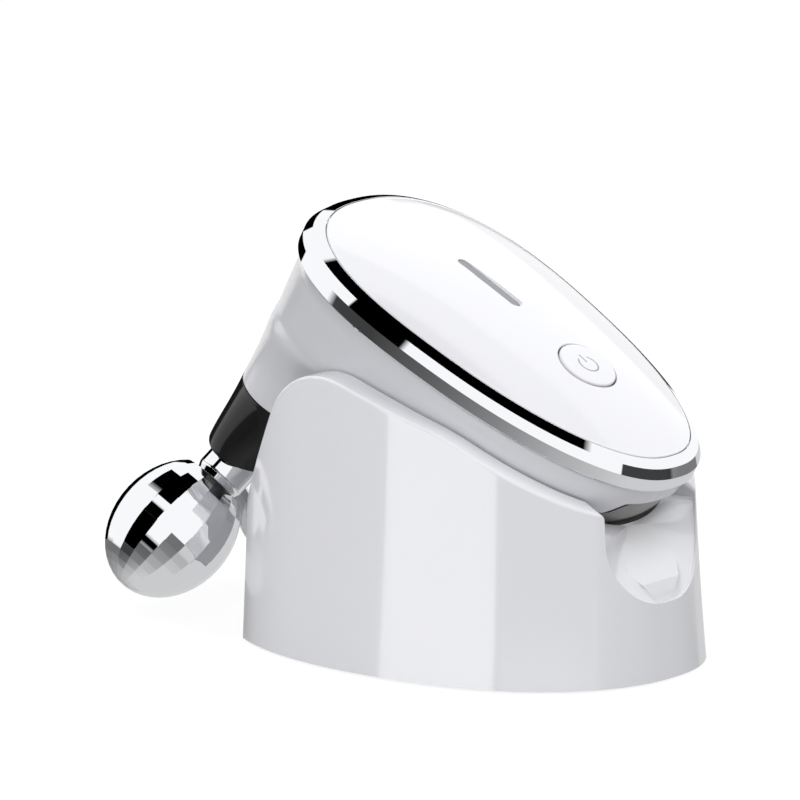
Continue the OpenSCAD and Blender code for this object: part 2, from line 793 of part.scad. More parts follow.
// Block of the scoop's wall, before the hollow is cut.
module scoop_block(wall) {
    pts = concat(both_sides(ramp_side), both_sides(mouth_side),
                 [for (p = both_sides(mouth_side)) [front_x + 8, p[1], p[2]]]);
    grown = [for (p = pts) each
        [p - [wall, 0, 0], p - [0, wall, 0], p + [0, wall, 0], p - [0, 0, wall]]];
    hull() polyhedron(grown, [for (i = [2 : len(grown) - 1]) [0, i - 1, i]]);
}

// Rounds the rim where it meets the mouth.
module mouth_corners() {
    translate([0, 0, -pad_out]) in_head() for (s = [0, 1]) mirror([0, s, 0])
        translate([rim_bend_x + 10, scoop_w / 2, -rim_drop - corner_r])
            rotate([90, 0, 90]) linear_extrude(head_l) difference() {
                translate([-corner_r, 0]) square([2 * corner_r, 2 * corner_r]);
                translate([corner_r, 0]) circle(r = corner_r);
            }
}

module dock_shell() {
    color([0.92, 0.93, 0.95]) on_foot() difference() {
        intersection() {
            union() {
                difference() {
                    dock_form(0, 0);
                    dock_form(-dock_wall, -1);
                }
                // lip and slanted back
                difference() {
                    dock_form(-dock_wall / 2, 0.4);
                    under_rim(lip_t, back_wall);
                }
                intersection() {
                    dock_form(-dock_wall / 2, 0.4);
                    scoop_block(scoop_wall);
                }
                for (p = posts) translate([p[0], p[1], plate_top + touch])
                    cylinder(d = post_d, h = post_h);
            }
            under_rim(0, 0);
        }
        handset_room(cradle_gap);
        scoop_hollow();
        mouth_corners();
        for (p = posts) translate([p[0], p[1], plate_top]) cylinder(d = screw_core_d + 0.1, h = 9);
        translate([-inlet_x, 0, inlet_z]) rotate([-90, 0, 0]) linear_extrude(far)
            stadium(inlet_w + 2 * mould_gap, inlet_t + 2 * mould_gap);
    }
}

module cradle() {
    color([0.94, 0.94, 0.96]) on_foot() difference() {
        union() {
            intersection() {
                dock_form(-dock_wall - mould_gap, plate_top + 1);
                union() {
                    intersection() {
                        handset_room(cradle_gap + cradle_wall);
                        under_rim(lip_t + touch, back_wall + touch);
                    }
                    // flange under the lip
                    difference() {
                        intersection() {
                            handset_room(cradle_gap + cradle_wall + cup_flange);
                            under_rim(lip_t + touch, back_wall + touch);
                        }
                        under_rim(lip_t + 1.6, back_wall + 1.6);
                    }
                }
            }
            // stakes that hold the charging board
            translate([0, 0, -pad_out]) in_head() for (s = [-1, 1]) translate([pin_x, s * stake_y, 0]) {
                translate([0, 0, -board_drop + charge_t + touch]) cylinder(d = stake_d, h = 7);
                translate([0, 0, -board_drop - 0.7]) cylinder(d = stake_tip_d, h = 4);
                translate([0, 0, -board_drop - 0.7]) cylinder(d = 2.8, h = 0.7 - touch);
            }
        }
        handset_room(cradle_gap);
        scoop_block(scoop_wall + mould_gap);
        translate([0, 0, -pad_out]) in_head() translate([pin_x, 0, -board_drop]) linear_extrude(board_drop)
            stadium_y(pin_pitch + block_w + 1.2, block_w + 1.2);
    }
}

module base_plate() {
    color([0.85, 0.86, 0.88]) on_foot() difference() {
        intersection() {
            dock_form(-dock_wall - mould_gap, plate_z);
            translate([-far / 2, -far / 2, 0]) cube([far, far, plate_top]);
        }
        skin([pad_oval(0.2, -1), pad_oval(0.2, pad_t - pad_out)]);
        for (p = posts) translate([p[0], p[1], 0]) {
            cylinder(d = screw_core_d + 0.6, h = 10);
            cylinder(d = 4.6, h = plate_top - screw_seat);
        }
    }
}

function pad_oval(off, z) =
    oval((pad_front + pad_back) / 2 + off, pad_half_w + off, 2.4, 0,
         (pad_front - pad_back) / 2, z, oval_n);

module foot_pad() {
    color([0.3, 0.3, 0.32]) skin([pad_oval(0, 0), pad_oval(0, pad_t - touch)]);
}

module base_screws() {
    color([0.6, 0.6, 0.62]) on_foot() for (p = posts)
        translate([p[0], p[1], plate_top - screw_seat - touch]) {
            translate([0, 0, -1.2]) cylinder(d = 4, h = 1.2);
            cylinder(d = screw_core_d, h = 8);
        }
}

module charge_board() {
    color([0.1, 0.35, 0.2]) in_head() translate([pin_x, 0, -board_drop]) difference() {
        linear_extrude(charge_t) square([charge_l, 2 * stake_y + 5], center = true);
        for (s = [-1, 1]) translate([0, s * stake_y, -1]) cylinder(d = stake_tip_d + 0.1, h = 4);
    }
}

module stadium_y(l, w) {
    rotate(90) stadium(l, w);
}

module pin_block() {
    color([0.12, 0.12, 0.13]) in_head() difference() {
        translate([pin_x, 0, -board_drop + charge_t + touch]) linear_extrude(block_h)
            stadium_y(pin_pitch + block_w, block_w);
        for (s = [-1, 1]) translate([pin_x, s * pin_pitch / 2, -board_drop])
            cylinder(r = pin_r + pin_fit, h = 2 * block_h);
    }
}

module pin(side) {
    low = board_drop - charge_t - pin_travel - 0.3;
    color([0.85, 0.7, 0.35]) in_head() translate([pin_x, side * pin_pitch / 2, -low])
        cylinder(r = pin_r, h = low - contact_low - 0.1);
}

module inlet_socket() {
    y = wall_y(inlet_x, inlet_z);
    color([0.6, 0.62, 0.65]) on_foot() translate([-inlet_x, y - 0.8, inlet_z]) rotate([90, 0, 0])
        difference() {
            linear_extrude(inlet_deep) stadium(inlet_w, inlet_t);
            translate([0, 0, -1]) linear_extrude(inlet_deep - 1) difference() {
                stadium(inlet_w - 0.7, inlet_t - 0.7);
                square([inlet_w - 3, 0.8], center = true);
            }
        }
}

dock_shell();
cradle();
base_plate();
foot_pad();
base_screws();
charge_board();
pin_block();
pin(-1);  // pin_near
pin(1);  // pin_far
inlet_socket();
body_shell();
belly_cover();
trim_ring();
top_cover();
light_window();
main_board();
board_screws();
tact_switch();
battery();
charge_contacts();
neck_collar();
yoke();
axle(-1);  // axle_near
axle(1);  // axle_far
axle_clips();
spacer(-1);  // spacer_near
spacer(1);  // spacer_far
ball(-1);  // ball_near
bush(-1);  // bush_near
ball(1);  // ball_far
bush(1);  // bush_far
power_button();
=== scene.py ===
"""Facial toning device resting in its charging dock, dressed for rendering.

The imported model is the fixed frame. Each sub-assembly is a class that builds its meshes as
numpy surfaces in millimetres, in the handset's own frame or in the dock's, and dresses them.
"""

import json
import logging
import math
from dataclasses import dataclass
from enum import Enum
from typing import Any, Sequence

import bmesh
import bpy
import numpy as np
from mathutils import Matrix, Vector


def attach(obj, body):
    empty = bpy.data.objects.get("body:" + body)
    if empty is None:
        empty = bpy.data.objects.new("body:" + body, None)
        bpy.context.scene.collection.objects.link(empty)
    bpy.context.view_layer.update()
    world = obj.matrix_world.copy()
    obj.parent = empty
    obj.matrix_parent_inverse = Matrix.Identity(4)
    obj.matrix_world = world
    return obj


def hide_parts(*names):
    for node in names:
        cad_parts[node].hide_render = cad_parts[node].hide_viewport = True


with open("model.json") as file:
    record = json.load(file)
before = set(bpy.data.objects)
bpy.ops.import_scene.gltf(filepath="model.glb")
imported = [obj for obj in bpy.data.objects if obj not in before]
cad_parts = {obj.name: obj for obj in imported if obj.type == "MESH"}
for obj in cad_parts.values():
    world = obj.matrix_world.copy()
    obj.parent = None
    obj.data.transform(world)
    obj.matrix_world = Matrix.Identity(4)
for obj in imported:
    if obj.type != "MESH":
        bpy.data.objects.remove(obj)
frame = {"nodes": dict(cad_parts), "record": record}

LOG = logging.getLogger("toner")
MM = 0.001
Array = np.ndarray


# ---------------------------------------------------------------- numbers and curves


def superellipse(angle: Array, square: float) -> tuple[Array, Array]:
    """Unit superellipse |x|^s + |y|^s = 1 at a polar angle.

    Args:
        angle: Polar angles in radians.
        square: The exponent s, 2 for a circle.

    Returns:
        The x and y shares, each from -1 to 1.
    """
    cos, sin = np.cos(angle), np.sin(angle)
    radius = (np.abs(cos) ** square + np.abs(sin) ** square) ** (-1.0 / square)
    return radius * cos, radius * sin


def smooth_through(knots: Array, values: Array, at: Array) -> Array:
    """Monotone cubic curve through the knots, so that it never overshoots a value.

    Args:
        knots: Rising positions of the values.
        values: The values to pass through.
        at: Positions to read.

    Returns:
        The curve's value at each position.
    """
    step = np.diff(knots)
    slope = np.diff(values) / step
    inner = np.where(slope[1:] * slope[:-1] > 0,
                     2 * slope[1:] * slope[:-1] / (slope[1:] + slope[:-1] + 1e-12), 0.0)
    tangent = np.concatenate([[slope[0]], inner, [slope[-1]]])
    i = np.clip(np.searchsorted(knots, at) - 1, 0, len(step) - 1)
    t = (at - knots[i]) / step[i]
    return ((2 * t**3 - 3 * t**2 + 1) * values[i] + (t**3 - 2 * t**2 + t) * step[i] * tangent[i]
            + (3 * t**2 - 2 * t**3) * values[i + 1] + (t**3 - t**2) * step[i] * tangent[i + 1])


def calm(values: Array, width: int) -> Array:
    """Running bell-weighted mean of an even row of values that keeps both ends.

    Args:
        values: The row.
        width: Half width of the mean in samples.

    Returns:
        The smoothed row.
    """
    reach = 3 * width
    weight = np.exp(-0.5 * (np.arange(-reach, reach + 1) / width) ** 2)
    weight /= weight.sum()
    before = 2 * values[0] - values[reach:0:-1]
    after = 2 * values[-1] - values[-2:-reach - 2:-1]
    return np.convolve(np.concatenate([before, values, after]), weight, mode="valid")


def rounded(points: Sequence[Sequence[float]], radii: Sequence[float], steps: int = 6,
            closed: bool = False) -> Array:
    """Polyline in a plane with each corner replaced by an arc.

    Each arc is followed by a support point just beyond it, so that the flats stay flat when
    the surface is shaded smooth.

    Args:
        points: Corners.
        radii: Radius at each corner, 0 to keep it sharp.
        steps: Steps in an arc.
        closed: Whether the last corner joins the first.

    Returns:
        The points of the new line.
    """
    corners = np.asarray(points, float)
    count = len(corners)
    out: list[Array] = []
    for i, radius in enumerate(radii):
        here = corners[i]
        if radius <= 0 or (not closed and i in (0, count - 1)):
            out.append(here[None])
            continue
        u = corners[i - 1] - here
        v = corners[(i + 1) % count] - here
        u /= np.linalg.norm(u)
        v /= np.linalg.norm(v)
        half = math.acos(float(np.clip(u @ v, -1, 1))) / 2
        middle = here + (u + v) / np.linalg.norm(u + v) * radius / math.sin(half)
        start = here + u * radius / math.tan(half) - middle
        turn = math.atan2(*(np.cross(start, here + v * radius / math.tan(half) - middle),
                            start @ (here + v * radius / math.tan(half) - middle)))
        angle = math.atan2(start[1], start[0]) + turn * np.linspace(0, 1, steps + 1)
        arc = middle + radius * np.stack([np.cos(angle), np.sin(angle)], 1)
        guard = min(0.04, radius * 0.15)
        out.append(np.concatenate([[arc[0] + u * guard], arc, [arc[-1] + v * guard]]))
    return np.concatenate(out)


# ---------------------------------------------------------------- meshes


def mesh_from(name: str, points: Array, quads: Array,
              extra: Sequence[Sequence[int]] = ()) -> bpy.types.Object:
    """Closed mesh object from points in millimetres.

    Args:
        name: Object's name.
        points: (n, 3) points.
        quads: (m, 4) faces.
        extra: Further faces with any number of corners, such as end caps.

    Returns:
        The object, with doubles merged and faces pointing outwards.
    """
    mesh = bpy.data.meshes.new(name)
    sizes = np.concatenate([np.full(len(quads), 4), np.array([len(f) for f in extra], int)]).astype(int)
    loops = np.concatenate([quads.ravel()] + [np.asarray(f, int) for f in extra]).astype(np.int32)
    mesh.vertices.add(len(points))
    mesh.vertices.foreach_set("co", (np.asarray(points, float) * MM).astype(np.float32).ravel())
    mesh.loops.add(len(loops))
    mesh.loops.foreach_set("vertex_index", loops)
    mesh.polygons.add(len(sizes))
    starts = np.concatenate([[0], np.cumsum(sizes)[:-1]])
    mesh.polygons.foreach_set("loop_start", starts.astype(np.int32))
    mesh.update(calc_edges=True)
    mesh.validate()
    obj = bpy.data.objects.new(name, mesh)
    bpy.context.scene.collection.objects.link(obj)
    tidy_mesh(obj)
    return obj


def tidy_mesh(obj: bpy.types.Object, gap: float = 2e-6) -> None:
    """Merges doubles, drops faces with no area and turns the faces outwards.

    Args:
        obj: Mesh object to change.
        gap: Points nearer than this, in metres, become one.
    """
    work = bmesh.new()
    work.from_mesh(obj.data)
    bmesh.ops.remove_doubles(work, verts=work.verts, dist=gap)
    bmesh.ops.dissolve_degenerate(work, edges=work.edges, dist=gap * 0.5)
    bmesh.ops.recalc_face_normals(work, faces=work.faces)
    work.to_mesh(obj.data)
    work.free()


def sheet_faces(rows: int, columns: int, wrap: bool) -> Array:
    """Quads of a grid of points numbered row by row.

    Args:
        rows: Rows in the grid.
        columns: Points in a row.
        wrap: Whether the last point of a row joins the first.

    Returns:
        (m, 4) point numbers.
    """
    across = columns if wrap else columns - 1
    i, j = np.meshgrid(np.arange(rows - 1), np.arange(across), indexing="ij")
    k = (j + 1) % columns
    here, above = i * columns, (i + 1) * columns
    return np.stack([here + j, here + k, above + k, above + j], -1).reshape(-1, 4)


def loft(name: str, rings: Array) -> bpy.types.Object:
    """Closed solid through rings of points, capped at both ends.

    Args:
        name: Object's name.
        rings: (rows, n, 3) points in millimetres.

    Returns:
        The object.
    """
    rows, count = rings.shape[:2]
    caps = [np.arange(count)[::-1], (rows - 1) * count + np.arange(count)]
    return mesh_from(name, rings.reshape(-1, 3), sheet_faces(rows, count, True), caps)


def turned(name: str, profile: Array, steps: int = 96) -> bpy.types.Object:
    """Solid of revolution about the z axis, from a profile of (radius, z) points.

    A point at radius r and height z becomes (r cos a, r sin a, z) for every angle a. The
    profile starts and ends on the axis, and its end points close to poles.

    Args:
        name: Object's name.
        profile: (n, 2) points.
        steps: Points round the axis.

    Returns:
        The object, in its own frame.
    """
    angle = np.linspace(0, 2 * math.pi, steps, endpoint=False)
    rings = np.stack([profile[:, :1] * np.cos(angle), profile[:, :1] * np.sin(angle),
                      np.repeat(profile[:, 1:], steps, 1)], -1)
    return mesh_from(name, rings.reshape(-1, 3), sheet_faces(len(profile), steps, True))


def prism(name: str, outline: Array, low: float, high: float, place: Any) -> bpy.types.Object:
    """Straight solid from a plane outline.

    Args:
        name: Object's name.
        outline: (n, 2) points.
        low: Where it starts along the third direction.
        high: Where it ends.
        place: Function that takes (first, second, third) arrays and returns 3-D points.

    Returns:
        The object.
    """
    ends = [np.full(len(outline), level) for level in (low, high)]
    return loft(name, np.stack([place(outline[:, 0], outline[:, 1], end) for end in ends]))


class Cut(Enum):
    """What a second solid does to the first."""

    AWAY = "DIFFERENCE"
    KEEP = "INTERSECT"
    JOIN = "UNION"


def combine(obj: bpy.types.Object, how: Cut, *others: bpy.types.Object,
            keep: bool = False) -> bpy.types.Object:
    """Cuts, keeps or joins solids, and leaves the result in the first one's mesh.

    Args:
        obj: Object to change.
        how: What the others do to it.
        others: The other solids.
        keep: Whether the others stay for later use.

    Returns:
        The first object.
    """
    for other in others:
        step = obj.modifiers.new("cut", "BOOLEAN")
        step.operation = how.value
        step.solver = "MANIFOLD"
        step.object = other
        graph = bpy.context.evaluated_depsgraph_get()
        made = bpy.data.meshes.new_from_object(obj.evaluated_get(graph))
        if len(made.polygons) < 4:
            step.solver = "EXACT"
            graph = bpy.context.evaluated_depsgraph_get()
            made = bpy.data.meshes.new_from_object(obj.evaluated_get(graph))
            LOG.warning("%s with %s went to the slower solver", obj.name, other.name)
        obj.modifiers.clear()
        old = obj.data
        obj.data = made
        bpy.data.meshes.remove(old)
        if not keep:
            discard(other)
    return obj


def discard(obj: bpy.types.Object) -> None:
    """Removes a helper solid."""
    bpy.data.objects.remove(obj)


def shade(obj: bpy.types.Object, sharp: float = 30.0) -> bpy.types.Object:
    """Shades a solid smooth, apart from its sharp edges.

    Args:
        obj: Mesh object.
        sharp: Edges that turn by more than this many degrees stay sharp.

    Returns:
        The same object.
    """
    tidy_mesh(obj)
    obj.data.shade_smooth()
    obj.data.set_sharp_from_angle(angle=math.radians(sharp))
    return obj


# ---------------------------------------------------------------- shader building


class Value:
    """A number inside a shader. Arithmetic on it adds the Math nodes that work it out."""

    def __init__(self, paint: "Paint", socket: Any) -> None:
        """Wraps a socket of a node tree."""
        self.paint = paint
        self.socket = socket

    def do(self, operation: str, *others: Any, clamp: bool = False) -> "Value":
        """Adds one Math node.

        Args:
            operation: The node's operation.
            others: The values after this one.
            clamp: Whether the result is held between 0 and 1.

        Returns:
            The result.
        """
        sockets = dict(enumerate([self, *others]))
        return self.paint.node("ShaderNodeMath", {"operation": operation, "use_clamp": clamp}, sockets)

    def __add__(self, other: Any) -> "Value":
        """Sum."""
        return self.do("ADD", other)

    __radd__ = __add__

    def __mul__(self, other: Any) -> "Value":
        """Product."""
        return self.do("MULTIPLY", other)

    __rmul__ = __mul__

    def __sub__(self, other: Any) -> "Value":
        """Difference."""
        return self.do("SUBTRACT", other)

    def __rsub__(self, other: Any) -> "Value":
        """Difference from a number."""
        return (self * -1.0) + other

    def __truediv__(self, other: Any) -> "Value":
        """Quotient."""
        return self.do("DIVIDE", other)

    def __pow__(self, other: float) -> "Value":
        """Power."""
        return self.do("POWER", other)

    def __abs__(self) -> "Value":
        """Size without the sign."""
        return self.do("ABSOLUTE")

    def above(self, limit: float, soft: float) -> "Value":
        """Mask that rises from 0 to 1.

        Args:
            limit: Middle of the rise.
            soft: Width of the rise.

        Returns:
            The mask.
        """
        return ((self - (limit - soft / 2)) / soft).do("ADD", 0.0, clamp=True)

    def below(self, limit: float, soft: float) -> "Value":
        """Mask that falls from 1 to 0.

        Args:
            limit: Middle of the fall.
            soft: Width of the fall.

        Returns:
            The mask.
        """
        return 1.0 - self.above(limit, soft)

    def between(self, low: float, high: float, soft: float) -> "Value":
        """Mask that is 1 inside a range.

        Args:
            low: Start of the range.
            high: End of the range.
            soft: Width of its edges.

        Returns:
            The mask.
        """
        return self.above(low, soft) * self.below(high, soft)


class Paint:
    """Builder of one node tree."""

    def __init__(self, tree: bpy.types.NodeTree) -> None:
        """Empties the tree."""
        self.tree = tree
        tree.nodes.clear()

    def node(self, kind: str, settings: dict[str, Any] | None = None,
             inputs: dict[Any, Any] | None = None, out: Any = 0) -> Value:
        """Adds a node.

        Args:
            kind: The node's type.
            settings: Its properties, and "stops" for a colour ramp: (place, colour) pairs.
            inputs: Values or links for its sockets, by name or number.
            out: Name or number of the socket to return.

        Returns:
            The output asked for.
        """
        node = self.tree.nodes.new(kind)
        for key, value in (settings or {}).items():
            if key == "stops":
                ramp = node.color_ramp.elements
                while len(ramp) < len(value):
                    ramp.new(0.5)
                for element, (place, colour) in zip(ramp, value):
                    element.position = place
                    element.color = colour
            else:
                setattr(node, key, value)
        for key, value in (inputs or {}).items():
            if isinstance(value, Value):
                self.tree.links.new(value.socket, node.inputs[key])
            else:
                node.inputs[key].default_value = value
        return Value(self, node.outputs[out] if len(node.outputs) else node)

    def place(self) -> Value:
        """Object coordinates, in metres."""
        return self.node("ShaderNodeTexCoord", out="Object")

    def axes(self, vector: Value) -> tuple[Value, Value, Value]:
        """The three numbers of a vector."""
        first = self.node("ShaderNodeSeparateXYZ", inputs={0: vector})
        return tuple(Value(self, socket) for socket in first.socket.node.outputs)

    def noise(self, size_mm: float, detail: float = 2.0, rough: float = 0.5) -> Value:
        """Soft random field from 0 to 1.

        Args:
            size_mm: Size of its grains.
            detail: Number of finer layers.
            rough: How strong the finer layers are.

        Returns:
            The field.
        """
        return self.node("ShaderNodeTexNoise", {}, {"Vector": self.place(), "Scale": 1.0 / (size_mm * MM),
                                                    "Detail": detail, "Roughness": rough})

    def blend(self, factor: Any, first: Any, second: Any) -> Value:
        """Mix of two colours.

        Args:
            factor: Share of the second, from 0 to 1.
            first: First colour.
            second: Second colour.

        Returns:
            The colour.
        """
        return self.node("ShaderNodeMix", {"data_type": "RGBA"}, {0: factor, 6: first, 7: second}, out=2)

    def bump(self, height: Value, depth_mm: float) -> Value:
        """Normal bent by a height field.

        Args:
            height: The field, from 0 to 1.
            depth_mm: Depth between its lowest and highest place.

        Returns:
            The bent normal.
        """
        inputs = {"Height": height, "Distance": depth_mm * MM, "Strength": 1.0}
        return self.node("ShaderNodeBump", {}, inputs)


def rgba(colour: Sequence[float]) -> tuple[float, float, float, float]:
    """Linear colour with full cover.

    Args:
        colour: Red, green and blue from 0 to 1, as they should look on screen.

    Returns:
        Linear red, green, blue and 1.
    """
    linear = [c / 12.92 if c <= 0.04045 else ((c + 0.055) / 1.055) ** 2.4 for c in colour]
    return (linear[0], linear[1], linear[2], 1.0)


@dataclass(frozen=True)
class Finish:
    """A surface finish whose colour, gloss and grain vary a little over the piece."""

    name: str
    colour: tuple[float, float, float]
    rough: float = 0.2
    metal: float = 0.0
    coat: float = 0.0
    drift: float = 0.012
    drift_mm: float = 30.0
    rough_drift: float = 0.04
    grain_mm: float = 0.6
    grain_depth_mm: float = 0.0
    specular: float = 0.5

    def extras(self, paint: Paint, colour: Value, rough: Value) -> tuple[Value, Value]:
        """Hook for a finish with marks of its own; returns colour and roughness."""
        return colour, rough

    def material(self) -> bpy.types.Material:
        """Builds the material, or returns the one already built."""
        title = f"look_{self.name}"
        known = bpy.data.materials.get(title)
        if known:
            return known
        made = bpy.data.materials.new(title)
        made.use_nodes = True
        paint = Paint(made.node_tree)
        base = np.array(rgba(self.colour)[:3])
        low = (*np.clip(base * (1 - self.drift), 0, 1), 1.0)
        high = (*np.clip(base * (1 + self.drift), 0, 1), 1.0)
        colour = paint.blend(paint.noise(self.drift_mm), low, high)
        patches = paint.noise(self.drift_mm * 0.4, 3.0)
        rough = patches * (2 * self.rough_drift) + (self.rough - self.rough_drift)
        colour, rough = self.extras(paint, colour, rough)
        inputs: dict[Any, Any] = {"Base Color": colour, "Roughness": rough, "Metallic": self.metal,
                                  "Coat Weight": self.coat, "Coat Roughness": 0.03,
                                  "Specular IOR Level": self.specular}
        if self.grain_depth_mm > 0:
            inputs["Normal"] = paint.bump(paint.noise(self.grain_mm, 3.0, 0.6), self.grain_depth_mm)
        surface = paint.node("ShaderNodeBsdfPrincipled", {}, inputs)
        paint.node("ShaderNodeOutputMaterial", {}, {"Surface": surface})
        return made


@dataclass(frozen=True)
class PowerMark(Finish):
    """White finish with a grey printed power symbol, an open ring with a bar."""

    centre: tuple[float, float, float] = (0.0, 0.0, 0.0)
    along: tuple[float, float, float] = (1.0, 0.0, 0.0)
    ring_mm: float = 2.2
    line_mm: float = 0.36
    gap_mm: float = 1.25
    bar_mm: tuple[float, float] = (0.5, 2.9)
    ink: tuple[float, float, float] = (0.5, 0.5, 0.52)

    def extras(self, paint: Paint, colour: Value, rough: Value) -> tuple[Value, Value]:
        """Adds the symbol's ink.

        The ring is where the distance from the centre is within half a line of its radius,
        outside the gap on the side that the bar stands in.

        Args:
            paint: Tree builder.
            colour: Colour so far.
            rough: Roughness so far.

        Returns:
            The new colour and roughness.
        """
        local = paint.node("ShaderNodeVectorMath", {"operation": "SUBTRACT"},
                           {0: paint.place(), 1: [c * MM for c in self.centre]})
        ahead = paint.node("ShaderNodeVectorMath", {"operation": "DOT_PRODUCT"},
                           {0: local, 1: self.along}, out="Value") / MM
        side = paint.axes(local)[1] / MM
        reach = (ahead * ahead + side * side) ** 0.5
        soft = 0.05
        ring = reach.between(self.ring_mm - self.line_mm / 2, self.ring_mm + self.line_mm / 2, soft)
        open_side = ahead.below(0.0, soft) * abs(side).below(self.gap_mm, soft)
        bar = (ahead * -1.0).between(*self.bar_mm, soft) * abs(side).below(self.line_mm / 2, soft)
        top = paint.axes(paint.node("ShaderNodeNewGeometry", out="Normal"))[2].above(0.5, 0.1)
        mask = (ring * (1.0 - open_side)).do("MAXIMUM", bar) * top
        return paint.blend(mask, colour, rgba(self.ink)), rough + mask * 0.15


class Looks:
    """The finishes of this object."""

    DOCK = Finish("dock_gloss_white", (0.885, 0.887, 0.9), rough=0.12, coat=0.5, drift=0.006,
                  grain_depth_mm=0.0006, grain_mm=1.2)
    CRADLE = Finish("cradle_white", (0.88, 0.882, 0.895), rough=0.3, drift=0.006, grain_depth_mm=0.001)
    BODY = Finish("body_gloss_white", (0.87, 0.872, 0.888), rough=0.24, coat=0.2, drift=0.006)
    COVER = Finish("cover_gloss_white", (0.868, 0.869, 0.885), rough=0.1, coat=0.6, drift=0.004)
    BELLY = Finish("belly_satin", (0.53, 0.52, 0.505), rough=0.3, drift=0.02, grain_depth_mm=0.0015)
    CHROME = Finish("bright_plating", (0.93, 0.935, 0.945), rough=0.02, metal=1.0, drift=0.006,
                    rough_drift=0.006)
    COLLAR = Finish("collar_black", (0.12, 0.12, 0.122), rough=0.12, drift=0.05, specular=0.3)
    WINDOW = Finish("window_grey", (0.56, 0.565, 0.58), rough=0.25, drift=0.03, grain_depth_mm=0.001)
    PLATE = Finish("plate_texture", (0.8, 0.81, 0.82), rough=0.45, drift=0.01, grain_depth_mm=0.01)
    PAD = Finish("pad_rubber", (0.25, 0.25, 0.27), rough=0.75, drift=0.06, grain_mm=0.9, grain_depth_mm=0.03)
    STEEL = Finish("turned_steel", (0.72, 0.72, 0.74), rough=0.28, metal=1.0, drift=0.03, grain_mm=0.15,
                   grain_depth_mm=0.001)
    BOARD = Finish("board_green", (0.06, 0.3, 0.17), rough=0.35, drift=0.08, drift_mm=3.0)
    BLACK = Finish("moulded_black", (0.09, 0.09, 0.1), rough=0.42, drift=0.05, grain_depth_mm=0.002)
    GOLD = Finish("plated_contact", (0.88, 0.72, 0.42), rough=0.18, metal=1.0, drift=0.03)
    FOIL = Finish("cell_foil", (0.66, 0.68, 0.71), rough=0.33, metal=1.0, drift=0.04, drift_mm=6.0)
    NYLON = Finish("bush_nylon", (0.86, 0.84, 0.77), rough=0.5, drift=0.02)


# ---------------------------------------------------------------- places and shared forms


@dataclass(frozen=True)
class HeadPlace:
    """The docked handset's own frame: x along its length, z square to the ring."""

    x: float = 11.9
    z: float = 67.6
    tilt: float = math.radians(28.6)

    def out(self, x: Array, y: Array, z: Array) -> Array:
        """Points of the handset's frame in the object's frame.

        Args:
            x: Along the handset's length.
            y: To its side.
            z: Square to the ring.

        Returns:
            (..., 3) points.
        """
        cos, sin = math.cos(self.tilt), math.sin(self.tilt)
        x, y, z = np.broadcast_arrays(x, y, z)
        return np.stack([self.x + x * cos + z * sin, y, self.z - x * sin + z * cos], -1)

    def direction(self, x: Array, z: Array) -> Array:
        """Directions in the object's frame of side-view directions in the handset's frame.

        Args:
            x: Shares along the handset's length.
            z: Shares square to the ring.

        Returns:
            (n, 3) directions.
        """
        cos, sin = math.cos(self.tilt), math.sin(self.tilt)
        return np.stack([x * cos + z * sin, 0 * x, -x * sin + z * cos], -1)

    def back(self, x: Array, z: Array) -> tuple[Array, Array]:
        """Side view in the handset's frame of points of the object's frame.

        Args:
            x: Their x.
            z: Their z.

        Returns:
            Their x and z in the handset's frame.
        """
        cos, sin = math.cos(self.tilt), math.sin(self.tilt)
        dx, dz = x - self.x, z - self.z
        return dx * cos - dz * sin, dx * sin + dz * cos


HEAD = HeadPlace()


